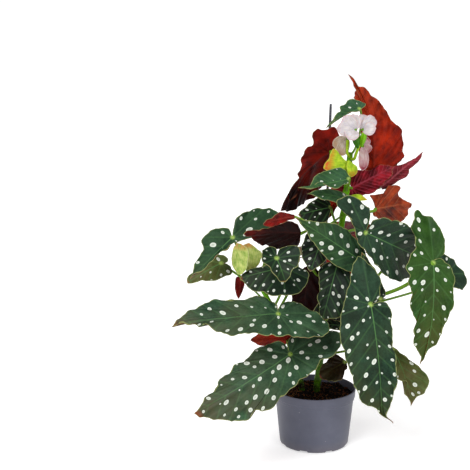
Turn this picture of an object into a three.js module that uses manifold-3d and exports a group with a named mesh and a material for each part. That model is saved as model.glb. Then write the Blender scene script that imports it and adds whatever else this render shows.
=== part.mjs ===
// A potted polka dot begonia: a nursery pot with soil, two canes, spotted angel-wing leaves, red young
// leaves and a small spray of flowers. Millimetres and degrees, +Z up, the front towards -Y.
// The origin is the middle of the pot's flat base.
import * as THREE from "three";
import { mergeVertices } from "three/addons/utils/BufferGeometryUtils.js";
import Module from "manifold-3d";

const wasm = await Module();
wasm.setup();

// ---------- Driving dimensions ----------

const GAP = 0.3;

const POT = {
  rimRadius: 60,
  height: 84,
  rimDepth: 12,
  rimOverhang: 2.5,
  stepDepth: 4,
  stepOverhang: 1,
  footRadius: 50,
  footRound: 4,
  wall: 1.6,
  floorTop: 6,
  padRadius: 28,
  channelInner: 31,
  channelOuter: 40,
  channelHeight: 3,
  notches: 8,
  notchWidth: 12,
  notchHeight: 4.5,
  drainRadius: 4,
};

const SOIL = { top: 75, bevel: 3, crown: 3, shoulderRadius: 30, shoulderRise: 1.8 };

const STAKE = { radius: 2, sides: 10, foot: [10, 32, 20], top: [23, 64, 493] };

const CANE_DETAIL = { sides: 10, steps: 14 };

const CANES = {
  main: {
    radius: 5,
    route: [[0, 2, 22], [4, 0, 90], [16, -2, 190], [32, 0, 300], [42, 2, 380], [46, 4, 428]],
  },
  left: {
    radius: 4,
    route: [[-16, 2, 22], [-20, 0, 90], [-42, -8, 160], [-72, -24, 225], [-96, -46, 269]],
  },
};

// Outlines run along the midrib and across it, in units of the length from the stalk to the tip: first the
// narrow half from the notch to the tip, then the wide half back from the tip and round its lobe.
const OUTLINES = {
  wing: {
    narrow: [
      [-0.012, -0.06], [0.03, -0.13], [0.14, -0.17], [0.32, -0.175], [0.58, -0.155], [0.8, -0.09],
      [1, 0],
    ],
    wide: [
      [1, 0], [0.86, 0.09], [0.68, 0.175], [0.42, 0.24], [0.14, 0.26], [-0.12, 0.25], [-0.32, 0.19],
      [-0.42, 0.1], [-0.4, -0.01], [-0.28, -0.09], [-0.15, -0.115], [-0.045, -0.085],
    ],
    span: 0.43,
    lobe: 0.42,
  },
  hooked: {
    narrow: [
      [0, -0.07], [0.01, -0.14], [0.08, -0.19], [0.22, -0.22], [0.42, -0.23], [0.64, -0.18],
      [0.84, -0.09], [1, 0],
    ],
    wide: [
      [1, 0], [0.84, 0.13], [0.66, 0.24], [0.48, 0.3], [0.32, 0.27], [0.18, 0.21], [0.04, 0.15],
      [-0.09, 0.08], [-0.14, 0], [-0.24, -0.065], [-0.38, -0.11], [-0.42, -0.175], [-0.33, -0.24],
      [-0.17, -0.235], [-0.06, -0.18], [-0.025, -0.09],
    ],
    span: 0.53,
    lobe: 0.42,
  },
  front: {
    narrow: [
      [0, -0.01], [-0.01, -0.05], [-0.02, -0.09], [0, -0.13], [0.05, -0.15], [0.12, -0.15],
      [0.22, -0.14], [0.34, -0.13], [0.45, -0.14], [0.53, -0.14], [0.61, -0.14], [0.7, -0.12],
      [0.82, -0.08], [0.9, -0.04], [1, 0],
    ],
    wide: [
      [1, 0], [0.92, 0.02], [0.87, 0.05], [0.83, 0.1], [0.79, 0.17], [0.69, 0.2], [0.62, 0.22],
      [0.54, 0.24], [0.44, 0.26], [0.34, 0.28], [0.23, 0.29], [0.14, 0.28], [0.05, 0.25], [-0.03, 0.22],
      [-0.13, 0.17], [-0.23, 0.13], [-0.33, 0.09], [-0.38, 0.06], [-0.41, 0.04], [-0.38, 0],
      [-0.33, -0.04], [-0.28, -0.09], [-0.19, -0.11], [-0.12, -0.1], [-0.05, -0.08], [-0.02, -0.02],
    ],
    span: 0.441,
    lobe: 0.41,
  },
  right: {
    narrow: [
      [-0.03, -0.01], [-0.04, -0.07], [-0.01, -0.12], [0.03, -0.17], [0.11, -0.19], [0.24, -0.19],
      [0.38, -0.19], [0.47, -0.17], [0.55, -0.14], [0.62, -0.11], [0.7, -0.11], [0.77, -0.08],
      [0.82, -0.04], [0.88, 0], [1, 0],
    ],
    wide: [
      [1, 0], [0.9, 0.06], [0.82, 0.12], [0.73, 0.16], [0.66, 0.18], [0.58, 0.15], [0.52, 0.19],
      [0.46, 0.23], [0.4, 0.24], [0.32, 0.22], [0.26, 0.25], [0.21, 0.27], [0.15, 0.25], [0.09, 0.29],
      [0.02, 0.27], [-0.06, 0.23], [-0.14, 0.18], [-0.22, 0.17], [-0.28, 0.2], [-0.34, 0.2],
      [-0.41, 0.15], [-0.48, 0.15], [-0.51, 0.11], [-0.47, 0.05], [-0.45, -0.02], [-0.4, -0.07],
      [-0.3, -0.11], [-0.2, -0.13], [-0.12, -0.12], [-0.07, -0.08], [-0.03, -0.01],
    ],
    span: 0.481,
    lobe: 0.509,
  },
  left_low: {
    narrow: [
      [0, -0.04], [-0.02, -0.09], [0.02, -0.14], [0.08, -0.18], [0.16, -0.2], [0.24, -0.21],
      [0.33, -0.2], [0.4, -0.19], [0.48, -0.19], [0.56, -0.17], [0.63, -0.16], [0.68, -0.14],
      [0.69, -0.11], [0.74, -0.1], [0.82, -0.08], [0.88, -0.05], [0.94, -0.02], [1, 0],
    ],
    wide: [
      [1, 0], [0.96, 0.07], [0.9, 0.14], [0.8, 0.21], [0.77, 0.27], [0.7, 0.29], [0.63, 0.31],
      [0.57, 0.28], [0.5, 0.32], [0.45, 0.34], [0.36, 0.33], [0.29, 0.3], [0.23, 0.29], [0.16, 0.29],
      [0.08, 0.27], [0, 0.27], [-0.08, 0.27], [-0.15, 0.24], [-0.2, 0.22], [-0.28, 0.25], [-0.37, 0.24],
      [-0.45, 0.21], [-0.5, 0.16], [-0.51, 0.09], [-0.48, 0.02], [-0.39, -0.05], [-0.28, -0.09],
      [-0.18, -0.12], [-0.1, -0.14], [-0.05, -0.11], [-0.02, -0.05],
    ],
    span: 0.547,
    lobe: 0.515,
  },
  long: {
    narrow: [
      [0, -0.05], [0.01, -0.13], [0.06, -0.16], [0.13, -0.19], [0.22, -0.21], [0.31, -0.19],
      [0.4, -0.19], [0.48, -0.21], [0.57, -0.21], [0.66, -0.18], [0.75, -0.15], [0.84, -0.11],
      [0.9, -0.08], [1, 0],
    ],
    wide: [
      [1, 0], [0.92, -0.01], [0.86, 0.01], [0.79, 0.02], [0.76, 0.07], [0.72, 0.05], [0.67, 0.08],
      [0.61, 0.13], [0.55, 0.19], [0.49, 0.23], [0.41, 0.21], [0.28, 0.23], [0.16, 0.26], [0.06, 0.29],
      [-0.02, 0.29], [-0.1, 0.29], [-0.17, 0.31], [-0.27, 0.31], [-0.38, 0.28], [-0.46, 0.22],
      [-0.49, 0.16], [-0.46, 0.08], [-0.41, 0], [-0.34, -0.05], [-0.26, -0.1], [-0.18, -0.13],
      [-0.11, -0.12], [-0.05, -0.1], [-0.01, -0.05],
    ],
    span: 0.522,
    lobe: 0.495,
  },
  clasped: {
    narrow: [
      [-0.03, -0.07], [-0.05, -0.14], [0.03, -0.23], [0.12, -0.3], [0.23, -0.34], [0.36, -0.33],
      [0.44, -0.29], [0.49, -0.2], [0.6, -0.17], [0.73, -0.13], [0.88, -0.07], [1, 0],
    ],
    wide: [
      [1, 0], [0.84, 0.07], [0.66, 0.13], [0.48, 0.17], [0.31, 0.18], [0.15, 0.09], [-0.05, 0.16],
      [-0.18, 0.22], [-0.38, 0.3], [-0.6, 0.36], [-0.82, 0.35], [-0.91, 0.25], [-0.88, 0.1],
      [-0.74, -0.05], [-0.51, -0.16], [-0.34, -0.19], [-0.18, -0.14], [-0.06, -0.06],
    ],
    span: 0.696,
    lobe: 0.913,
  },
  twisted: {
    narrow: [
      [0.01, -0.04], [0.11, -0.06], [0.22, -0.04], [0.35, 0.02], [0.48, 0.08], [0.61, 0.05],
      [0.74, 0.03], [0.89, -0.01], [1, 0],
    ],
    wide: [
      [1, 0], [0.86, 0.07], [0.73, 0.08], [0.56, 0.14], [0.47, 0.15], [0.41, 0.26], [0.27, 0.26],
      [0.13, 0.31], [-0.01, 0.28], [-0.17, 0.23], [-0.29, 0.11], [-0.13, 0.02], [0, -0.04],
    ],
    span: 0.37,
    lobe: 0.286,
  },
  tailed: {
    narrow: [
      [0.01, -0.04], [0.09, -0.12], [0.27, -0.15], [0.43, -0.13], [0.51, -0.05], [0.57, 0.05],
      [0.66, 0.03], [0.79, -0.05], [0.91, -0.04], [1, 0],
    ],
    wide: [
      [1, 0], [0.89, 0.01], [0.83, -0.01], [0.74, 0.08], [0.64, 0.17], [0.52, 0.23], [0.37, 0.27],
      [0.23, 0.26], [0.09, 0.25], [0, 0.18], [-0.04, 0.08], [-0.02, -0.01],
    ],
    span: 0.41,
    lobe: 0.038,
  },
  centre: {
    narrow: [
      [-0.02, -0.03], [-0.02, -0.12], [0.06, -0.19], [0.18, -0.2], [0.28, -0.22], [0.39, -0.22],
      [0.51, -0.19], [0.61, -0.16], [0.7, -0.12], [0.81, -0.06], [0.9, -0.02], [1, 0],
    ],
    wide: [
      [1, 0], [0.89, 0.04], [0.81, 0.06], [0.71, 0.11], [0.62, 0.16], [0.5, 0.19], [0.39, 0.21],
      [0.27, 0.18], [0.13, 0.15], [-0.01, 0.1], [-0.06, 0.03], [-0.03, 0],
    ],
    span: 0.428,
    lobe: 0.058,
  },
  heart: {
    narrow: [
      [-0.18, 0.06], [-0.43, 0.13], [-0.6, -0.05], [-0.51, -0.37], [-0.25, -0.54], [0.08, -0.56],
      [0.3, -0.42], [0.54, -0.39], [0.75, -0.3], [0.96, -0.17], [1, 0],
    ],
    wide: [
      [1, 0], [0.89, 0.21], [0.66, 0.37], [0.58, 0.59], [0.4, 0.77], [0.15, 0.89], [-0.1, 0.89],
      [-0.31, 0.69], [-0.4, 0.44], [-0.33, 0.21], [-0.16, 0.1],
    ],
    span: 1.443,
    lobe: 0.611,
  },
  under_heart: {
    narrow: [
      [0.03, -0.05], [0.12, -0.15], [0.28, -0.15], [0.38, -0.13], [0.6, -0.14], [0.78, -0.14],
      [0.93, -0.07], [1, 0],
    ],
    wide: [
      [1, 0], [0.91, 0.18], [0.81, 0.34], [0.63, 0.42], [0.53, 0.53], [0.37, 0.6], [0.18, 0.63],
      [-0.01, 0.68], [-0.19, 0.62], [-0.37, 0.5], [-0.5, 0.31], [-0.5, 0.11], [-0.34, -0.02],
      [-0.17, -0.09], [-0.05, -0.06],
    ],
    span: 0.844,
    lobe: 0.51,
  },
  inner: {
    narrow: [
      [-0.01, -0.02], [0.03, -0.11], [0.1, -0.21], [0.21, -0.25], [0.37, -0.23], [0.52, -0.16],
      [0.64, -0.17], [0.77, -0.11], [0.89, -0.06], [1, 0],
    ],
    wide: [
      [1, 0], [0.94, 0.08], [0.88, 0.2], [0.81, 0.28], [0.69, 0.33], [0.52, 0.33], [0.33, 0.31],
      [0.16, 0.25], [0.05, 0.16], [0, 0.02],
    ],
    span: 0.581,
    lobe: 0.011,
  },
  flame: {
    narrow: [
      [0.01, -0.01], [0.11, -0.06], [0.24, -0.12], [0.36, -0.14], [0.48, -0.1], [0.6, -0.07],
      [0.69, -0.05], [0.75, -0.05], [0.78, -0.07], [0.83, -0.04], [0.83, -0.02], [0.88, -0.02],
      [0.93, -0.01], [1, 0],
    ],
    wide: [
      [1, 0], [0.93, 0.01], [0.88, 0.02], [0.87, 0.05], [0.81, 0.07], [0.76, 0.08], [0.72, 0.12],
      [0.68, 0.14], [0.63, 0.14], [0.59, 0.16], [0.52, 0.18], [0.47, 0.22], [0.41, 0.25], [0.34, 0.26],
      [0.28, 0.26], [0.24, 0.25], [0.18, 0.27], [0.15, 0.23], [0.11, 0.21], [0.07, 0.17], [0.01, 0.13],
      [-0.04, 0.08], [-0.03, 0.02],
    ],
    span: 0.405,
    lobe: 0.037,
  },
  hanging: {
    narrow: [
      [0.01, -0.04], [0.02, -0.16], [0.11, -0.31], [0.25, -0.4], [0.4, -0.44], [0.57, -0.43],
      [0.74, -0.32], [0.89, -0.19], [1, 0],
    ],
    wide: [
      [1, 0], [0.89, -0.09], [0.78, -0.12], [0.65, -0.11], [0.56, -0.06], [0.51, 0.04], [0.41, 0.08],
      [0.34, 0.16], [0.28, 0.21], [0.2, 0.23], [0.13, 0.22], [0.06, 0.27], [0, 0.36], [-0.06, 0.38],
      [-0.1, 0.34], [-0.16, 0.3], [-0.24, 0.28], [-0.23, 0.17], [-0.14, 0.05], [-0.04, -0.01],
    ],
    span: 0.823,
    lobe: 0.248,
  },
  folded: {
    narrow: [
      [0.02, -0.03], [0.21, -0.09], [0.37, -0.11], [0.51, -0.14], [0.58, -0.11], [0.6, -0.01],
      [0.69, 0.02], [0.74, -0.04], [0.8, -0.1], [0.89, -0.04], [1, 0],
    ],
    wide: [
      [1, 0], [0.95, 0.07], [0.88, 0.14], [0.86, 0.23], [0.78, 0.3], [0.73, 0.37], [0.65, 0.4],
      [0.56, 0.37], [0.46, 0.3], [0.36, 0.25], [0.23, 0.17], [0.09, 0.09], [-0.03, 0.02],
    ],
    span: 0.54,
    lobe: 0.023,
  },
  pleat: {
    narrow: [
      [-0.02, -0.07], [-0.07, -0.24], [-0.03, -0.36], [0.08, -0.41], [0.22, -0.41], [0.38, -0.37],
      [0.55, -0.3], [0.68, -0.22], [0.86, -0.09], [1, 0],
    ],
    wide: [
      [1, 0], [0.89, 0.04], [0.74, 0.03], [0.65, 0.06], [0.53, 0.09], [0.42, 0.12], [0.31, 0.17],
      [0.18, 0.19], [0.07, 0.13], [0.01, 0.05],
    ],
    span: 0.593,
    lobe: 0.067,
  },
  crest: {
    narrow: [
      [-0.02, -0.05], [0.08, -0.11], [0.24, -0.18], [0.41, -0.22], [0.64, -0.21], [0.89, -0.13], [1, 0],
    ],
    wide: [[1, 0], [0.93, 0.08], [0.75, 0.09], [0.62, 0.16], [0.46, 0.18], [0.2, 0.12], [0.01, 0.05]],
    span: 0.397,
    lobe: 0.019,
  },
  shaded: {
    narrow: [
      [0.03, -0.06], [0.18, -0.29], [0.37, -0.44], [0.55, -0.44], [0.74, -0.34], [0.88, -0.19], [1, 0],
    ],
    wide: [
      [1, 0], [0.86, 0.13], [0.68, 0.2], [0.5, 0.27], [0.29, 0.35], [0.09, 0.38], [-0.03, 0.28],
      [-0.05, 0.12],
    ],
    span: 0.831,
    lobe: 0.058,
  },
  ruffled: {
    narrow: [
      [0, -0.05], [0.01, -0.18], [0.09, -0.29], [0.24, -0.3], [0.41, -0.25], [0.58, -0.2], [0.75, -0.15],
      [0.9, -0.1], [1, 0],
    ],
    wide: [
      [1, 0], [0.88, 0.13], [0.67, 0.24], [0.44, 0.28], [0.19, 0.28], [-0.01, 0.21], [-0.19, 0.1],
      [-0.33, -0.01], [-0.43, -0.14], [-0.35, -0.22], [-0.19, -0.19], [-0.06, -0.08],
    ],
    span: 0.591,
    lobe: 0.44,
  },
  corner: {
    narrow: [[-0.03, -0.05], [0.04, -0.17], [0.3, -0.18], [0.58, -0.18], [0.81, -0.13], [1, 0]],
    wide: [
      [1, 0], [0.86, 0.23], [0.7, 0.41], [0.51, 0.55], [0.29, 0.54], [0.08, 0.4], [-0.05, 0.17],
      [-0.05, 0.03],
    ],
    span: 0.731,
    lobe: 0.058,
  },
  curtain: {
    narrow: [
      [-0.02, -0.02], [0.07, -0.14], [0.25, -0.22], [0.48, -0.26], [0.71, -0.27], [0.9, -0.19],
      [0.99, -0.09], [1, 0],
    ],
    wide: [
      [1, 0], [0.93, 0.18], [0.79, 0.34], [0.59, 0.43], [0.37, 0.39], [0.17, 0.28], [0.02, 0.15],
      [-0.03, 0.02],
    ],
    span: 0.704,
    lobe: 0.029,
  },
  spear: {
    narrow: [
      [0.01, -0.01], [0.03, -0.09], [0.15, -0.11], [0.26, -0.12], [0.36, -0.17], [0.44, -0.15],
      [0.5, -0.11], [0.57, -0.07], [0.68, -0.03], [0.78, -0.01], [0.87, 0.03], [0.93, 0.01], [1, 0],
    ],
    wide: [
      [1, 0], [0.9, 0.05], [0.78, 0.09], [0.68, 0.09], [0.6, 0.08], [0.55, 0.13], [0.47, 0.14],
      [0.36, 0.13], [0.25, 0.12], [0.13, 0.09], [0.05, 0.08], [-0.01, 0.05],
    ],
    span: 0.315,
    lobe: 0.013,
  },
  fan: {
    narrow: [
      [-0.01, -0.05], [-0.08, -0.23], [-0.1, -0.33], [0.06, -0.33], [0.25, -0.33], [0.32, -0.46],
      [0.47, -0.47], [0.61, -0.44], [0.64, -0.3], [0.71, -0.15], [0.84, -0.07], [1, 0],
    ],
    wide: [
      [1, 0], [1.03, 0.15], [1, 0.27], [1.02, 0.36], [0.94, 0.42], [0.92, 0.54], [0.85, 0.66],
      [0.7, 0.57], [0.53, 0.46], [0.31, 0.35], [0.07, 0.25], [-0.06, 0.1],
    ],
    span: 1.12,
    lobe: 0.093,
  },
  lime: {
    narrow: [[-0.01, -0.03], [0.12, -0.04], [0.34, 0.01], [0.53, -0.01], [0.74, -0.09], [1, 0]],
    wide: [
      [1, 0], [0.96, 0.21], [0.84, 0.36], [0.83, 0.53], [0.75, 0.69], [0.59, 0.62], [0.42, 0.51],
      [0.24, 0.35], [0.02, 0.31], [-0.15, 0.18], [-0.08, 0.04],
    ],
    span: 0.77,
    lobe: 0.144,
  },
  lime_low: {
    narrow: [[0.06, -0.1], [0.27, -0.19], [0.5, -0.21], [0.75, -0.2], [0.93, -0.11], [1, 0]],
    wide: [[1, 0], [0.96, 0.18], [0.79, 0.36], [0.49, 0.39], [0.23, 0.21], [0.05, 0.08]],
    span: 0.606,
    lobe: 0.04,
  },
  stipule: {
    narrow: [[0.03, -0.07], [0.22, -0.24], [0.5, -0.31], [0.83, -0.33], [1.01, -0.17], [1, 0]],
    wide: [[1, 0], [0.8, 0.15], [0.51, 0.26], [0.23, 0.24], [0.02, 0.1]],
    span: 0.589,
    lobe: 0.022,
  },
  sheath: {
    narrow: [
      [0, -0.11], [0.1, -0.33], [0.31, -0.48], [0.57, -0.5], [0.76, -0.35], [0.92, -0.15], [1, 0],
    ],
    wide: [[1, 0], [0.94, 0.18], [0.77, 0.29], [0.47, 0.26], [0.22, 0.2], [0.04, 0.11]],
    span: 0.802,
    lobe: 0.026,
  },
  crumpled: {
    narrow: [
      [-0.03, -0.05], [0.04, -0.21], [0.15, -0.36], [0.36, -0.38], [0.61, -0.34], [0.84, -0.21], [1, 0],
    ],
    wide: [[1, 0], [0.93, 0.2], [0.77, 0.35], [0.56, 0.44], [0.33, 0.42], [0.12, 0.29], [0, 0.09]],
    span: 0.816,
    lobe: 0.023,
  },
  bract: {
    narrow: [[-0.03, -0.06], [0.12, -0.3], [0.42, -0.42], [0.74, -0.28], [1, 0]],
    wide: [[1, 0], [0.74, 0.28], [0.42, 0.42], [0.12, 0.3], [-0.03, 0.06]],
    span: 0.84,
    lobe: 0.03,
  },
  tepal: {
    narrow: [[-0.04, -0.05], [0.14, -0.28], [0.46, -0.46], [0.82, -0.36], [1, 0]],
    wide: [[1, 0], [0.82, 0.36], [0.46, 0.46], [0.14, 0.28], [-0.04, 0.05]],
    span: 0.92,
    lobe: 0.04,
  },
};

const BLADE = { thickness: 1.2, foldRound: 4 };

// Steps along the narrow and the wide half of the outline, and the rings between stalk and edge.
const FINE = { narrow: 8, wide: 13, rings: [0.4, 0.74, 1] };
const COARSE = { narrow: 5, wide: 7, rings: [0.6, 1] };
const FINE_WIDTH = 60;

const STALK = { radius: 2, sides: 6, steps: 6 };

// Each leaf: where its stalk meets the blade, its tip, the way its upper side faces, full width, length of the
// lobe behind the stalk, which hand the wide half is on (1 left, -1 right, seen from above with the tip
// ahead), droop of the midrib and fold of the halves in degrees, and its node on a cane. Some have more: bow,
// how far the midrib curves sideways; lean, how far the lobe leans to the wide side; slim, the narrow half's
// share of its usual width; clasp, how far the wide half is folded up ahead of the stalk; via, a place that
// the leaf stalk passes; tint, where the blade is red or dry.
const LEAVES = {
  leaf_front_hanging: {
    at: [67, -93, 231], tip: [84, -110, 68], face: [-0.1, -1, 0.3], width: 73, lobe: 68, hand: -1,
    droop: 16, fold: 8, bow: -3, outline: "front", cane: "main", node: 215,
  },
  leaf_right_hanging: {
    at: [159, -46, 279], tip: [146, -60, 136], face: [0.1, -1, 0.2], width: 70, lobe: 74, hand: -1,
    droop: 26, fold: 10, bow: -4, via: [122, -30, 242], outline: "right", cane: "main", node: 200,
  },
  leaf_far_right: {
    at: [196, 44, 244], tip: [132, 42, 284], face: [0.1, -0.8, 0.6], width: 42, lobe: 42, hand: -1,
    droop: 20, fold: 8, cane: "main", node: 186,
  },
  leaf_upper_right: {
    at: [63, -56, 323], tip: [172, 36, 262], face: [-0.25, -0.95, 0.22], width: 80, lobe: 63, hand: -1,
    droop: 26, fold: 10, outline: "hooked", cane: "main", node: 310,
  },
  leaf_small_top: {
    at: [42, -20, 393], tip: [-30, -46, 384], face: [0.1, -0.7, 0.75], width: 32, lobe: 3, hand: -1,
    droop: 20, fold: 14, bow: -4, outline: "tailed", cane: "main", node: 372,
  },
  leaf_narrow_top: {
    at: [46, -20, 360], tip: [-17, -34, 374], face: [0, -0.75, 0.7], width: 24, lobe: 12, hand: 1,
    droop: 24, fold: 14, bow: -3, cane: "main", node: 350,
  },
  leaf_centre: {
    at: [60, -34, 279], tip: [-36, -66, 346], face: [-0.2, -0.9, 0.45], width: 52, lobe: 7, hand: -1,
    droop: 14, fold: 8, outline: "centre", cane: "main", node: 262,
  },
  leaf_heart: {
    at: [-61, -98, 296], tip: [-50, -118, 268], face: [0.05, -0.75, 0.6], width: 52, lobe: 22, hand: 1,
    droop: 20, fold: 12, via: [-72, -62, 292], outline: "heart", cane: "left", node: 246,
  },
  leaf_under_heart: {
    at: [-50, -66, 276], tip: [-110, -72, 262], face: [0.05, -0.85, 0.55], width: 53, lobe: 32, hand: 1,
    droop: 26, fold: 4, outline: "under_heart", cane: "left", node: 208,
  },
  leaf_left_upper: {
    at: [-120, -62, 318], tip: [-177, -92, 266], face: [0.1, -0.85, 0.5], width: 58, lobe: 76, hand: 1,
    droop: 14, fold: 14, clasp: 50, outline: "clasped", cane: "left", node: 262,
  },
  leaf_left_long: {
    at: [-58, -92, 218], tip: [-202, -118, 208], face: [0, -0.6, 0.8], width: 77, lobe: 73, hand: 1,
    droop: 22, fold: 6, bow: 3, outline: "long", cane: "left", node: 176,
  },
  leaf_left_low: {
    at: [-41, -88, 160], tip: [-172, -132, 91], face: [-0.1, -0.72, 0.72], width: 85, lobe: 80, hand: 1,
    droop: 22, fold: 6, bow: 6, outline: "left_low", cane: "main", node: 116,
  },
  leaf_right_low: {
    at: [110, -20, 147], tip: [133, -60, 77], face: [0.3, -0.75, 0.6], width: 46, lobe: 2, hand: 1,
    droop: 36, fold: 14, outline: "folded", cane: "main", node: 130,
  },
  leaf_inner_hanging: {
    at: [28, -30, 277], tip: [4, -58, 197], face: [-0.1, -0.95, 0.3], width: 51, lobe: 1, hand: 1,
    droop: 14, fold: 6, outline: "inner", cane: "main", node: 246,
  },
  leaf_inner_dark: {
    at: [4, -26, 304], tip: [-12, -46, 266], face: [-0.15, -0.9, 0.4], width: 40, lobe: 14, hand: -1,
    droop: 20, fold: 6, cane: "main", node: 292,
  },
  leaf_behind_centre: {
    at: [18, -14, 352], tip: [-29, -32, 343], face: [-0.1, -0.8, 0.6], width: 43, lobe: 3, hand: -1,
    droop: 14, fold: 8, outline: "shaded", cane: "main", node: 318,
  },
  leaf_inner_low: {
    at: [39, -34, 200], tip: [-9, -52, 210], face: [-0.2, -0.9, 0.4], width: 38, lobe: 3, hand: -1,
    droop: 14, fold: 8, outline: "corner", cane: "main", node: 170,
  },
  leaf_inner_bottom: {
    at: [40, -38, 186], tip: [6, -50, 192], face: [-0.2, -0.8, 0.5], width: 20, lobe: 4, hand: -1,
    droop: 14, fold: 8, cane: "main", node: 150,
  },
  leaf_inner_right: {
    at: [88, -40, 226], tip: [58, -54, 296], face: [-0.3, -0.9, 0.2], width: 26, lobe: 4, hand: 1,
    droop: 16, fold: 10, cane: "main", node: 236,
  },
  leaf_red_tall: {
    at: [79, 32, 379], tip: [43, 24, 537], face: [0.3, 0.92, -0.1], width: 66, lobe: 6, hand: 1,
    droop: 26, fold: 12, bow: 17, via: [56, 26, 402], outline: "flame", cane: "main", node: 414,
    tint: "red",
  },
  leaf_red_pointed: {
    at: [93, 21, 376], tip: [151, 12, 429], face: [0.1, 0.9, -0.35], width: 25, lobe: 1, hand: 1,
    droop: 16, fold: 16, via: [68, 23, 366], outline: "spear", cane: "main", node: 358, tint: "red",
  },
  leaf_red_crinkled: {
    at: [50, 12, 376], tip: [107, 4, 408], face: [0.1, 0.9, -0.35], width: 39, lobe: 29, hand: 1,
    droop: 20, fold: 10, outline: "ruffled", cane: "main", node: 378, tint: "red",
  },
  leaf_inner_red: {
    at: [-10, -8, 266], tip: [-21, -22, 199], face: [0.2, 0.95, 0.1], width: 49, lobe: 2, hand: -1,
    droop: 14, fold: 10, outline: "curtain", cane: "main", node: 230, tint: "red",
  },
  leaf_red_fan: {
    at: [83, 6, 347], tip: [140, 34, 351], face: [-0.35, 0.75, 0.3], width: 72, lobe: 6, hand: 1,
    droop: 14, fold: 14, outline: "fan", cane: "main", node: 338, tint: "red",
  },
  leaf_maroon_hanging: {
    at: [20, 34, 426], tip: [-52, 6, 344], face: [-0.55, 0.8, 0.1], width: 93, lobe: 28, hand: 1,
    droop: 20, fold: 10, bow: 9, outline: "hanging", cane: "main", node: 396, tint: "red",
  },
  leaf_topmost: {
    at: [56, -14, 490], tip: [8, -34, 464], face: [0, -0.72, 0.75], width: 22, lobe: 17, hand: -1,
    droop: 40, fold: 14, outline: "twisted", cane: "main", node: 424,
  },
  leaf_left_red_fold: {
    at: [-36, -63, 347], tip: [-79, -94, 342], face: [0, 0.9, 0.4], width: 21, lobe: 1, hand: 1,
    droop: 16, fold: 16, via: [2, -49, 331], outline: "crest", cane: "main", node: 338, tint: "red",
  },
  leaf_left_maroon: {
    at: [-26, -46, 321], tip: [-106, -84, 327], face: [0, 0.9, 0.4], width: 53, lobe: 6, hand: 1,
    droop: 14, fold: 16, via: [2, -20, 326], outline: "pleat", cane: "main", node: 316, tint: "red",
  },
  leaf_left_red_low: {
    at: [-44, -54, 170], tip: [-95, -68, 173], face: [0, 0.95, 0.25], width: 32, lobe: 12, hand: 1,
    droop: 18, fold: 12, cane: "left", node: 140, tint: "red",
  },
  leaf_left_under: {
    at: [-136, -34, 276], tip: [-183, -54, 252], face: [-0.1, -0.7, 0.7], width: 40, lobe: 12, hand: 1,
    droop: 16, fold: 6, outline: "heart", cane: "left", node: 240,
  },
  leaf_small_red: {
    at: [-108, -12, 248], tip: [-112, -20, 221], face: [0.1, 0.95, 0.1], width: 14, lobe: 3, hand: 1,
    droop: 20, fold: 14, cane: "left", node: 214, tint: "red",
  },
  leaf_small_orange: {
    at: [25, 1, 359], tip: [13, 2, 331], face: [0.1, 0.95, 0.2], width: 18, lobe: 5, hand: 1, droop: 24,
    fold: 16, cane: "main", node: 356, tint: "red",
  },
  leaf_withered: {
    at: [41, -30, 131], tip: [4, -36, 110], face: [-0.2, -0.85, 0.5], width: 35, lobe: 1, hand: 1,
    droop: 30, fold: 14, outline: "crumpled", cane: "main", node: 96, tint: "withered",
  },
  leaf_back_left: {
    at: [-28, 66, 264], tip: [-68, 120, 192], face: [-0.35, 0.6, 0.7], width: 60, lobe: 56, hand: 1,
    droop: 28, fold: 8, cane: "left", node: 196,
  },
  leaf_back_middle: {
    at: [44, 92, 292], tip: [40, 168, 190], face: [0, 0.86, 0.5], width: 76, lobe: 60, hand: -1,
    droop: 28, fold: 8, cane: "main", node: 240,
  },
  leaf_back_right: {
    at: [129, 78, 279], tip: [211, 118, 247], face: [0.4, 0.62, 0.66], width: 66, lobe: 50, hand: 1,
    droop: 28, fold: 8, cane: "main", node: 176,
  },
  leaf_back_low: {
    at: [-30, 84, 176], tip: [-66, 160, 120], face: [-0.2, 0.7, 0.66], width: 70, lobe: 50, hand: -1,
    droop: 26, fold: 8, cane: "main", node: 120,
  },
};

// Stipules round the shoots and the bracts below the flowers: pale sheets that clasp a cane.
const BRACTS = {
  bract_lime_left: {
    at: [44, -6, 402], tip: [6, -21, 408], face: [0, -1, 0.05], width: 32, lobe: 6, hand: -1, droop: 24,
    outline: "lime",
  },
  bract_lime_top: {
    at: [42, -12, 418], tip: [48, -8, 394], face: [0.1, -1, 0.1], width: 15, lobe: 1, droop: 24,
    outline: "lime_low",
  },
  stipule_right: {
    at: [46, -3, 365], tip: [70, -13, 362], face: [0, -0.7, 0.7], width: 13, droop: 30, outline: "bract",
  },
  stipule_left_outer: {
    at: [-110, -71, 267], tip: [-115, -76, 312], face: [-0.5, -0.85, 0.1], width: 27, lobe: 1,
    droop: -30, outline: "stipule",
  },
  stipule_left_inner: {
    at: [-99, -62, 272], tip: [-98, -64, 310], face: [0.2, -0.95, 0.1], width: 31, lobe: 1, droop: -30,
    outline: "sheath",
  },
};

// Flowers: the hub where the tepals meet, the tepals' tips, and their width.
const FLOWERS = {
  flower_upper_left: {
    hub: [49, -30, 462], tips: [[22, -38, 465], [31, -36, 481], [44, -30, 484], [37, -43, 451]], width: 21,
  },
  flower_upper_right: { hub: [59, -28, 462], tips: [[62, -20, 484], [76, -25, 480], [76, -38, 465]], width: 19 },
  flower_lower_left: { hub: [41, -1, 448], tips: [[20, -3, 437], [29, -4, 423]], width: 18 },
  flower_lower_right: { hub: [62, -8, 438], tips: [[70, -6, 450], [74, -8, 430], [63, -9, 402]], width: 15 },
};

const FLOWER_STALK = {
  radius: 1.6,
  branches: [
    [[46, 4, 420], [50, -6, 419], [52, -16, 428], [54, -25, 438]],
    [[54, -25, 438], [53, -27, 448], [51, -29, 458]],
    [[54, -25, 438], [57, -26, 448], [60, -28, 458]],
  ],
};

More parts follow.
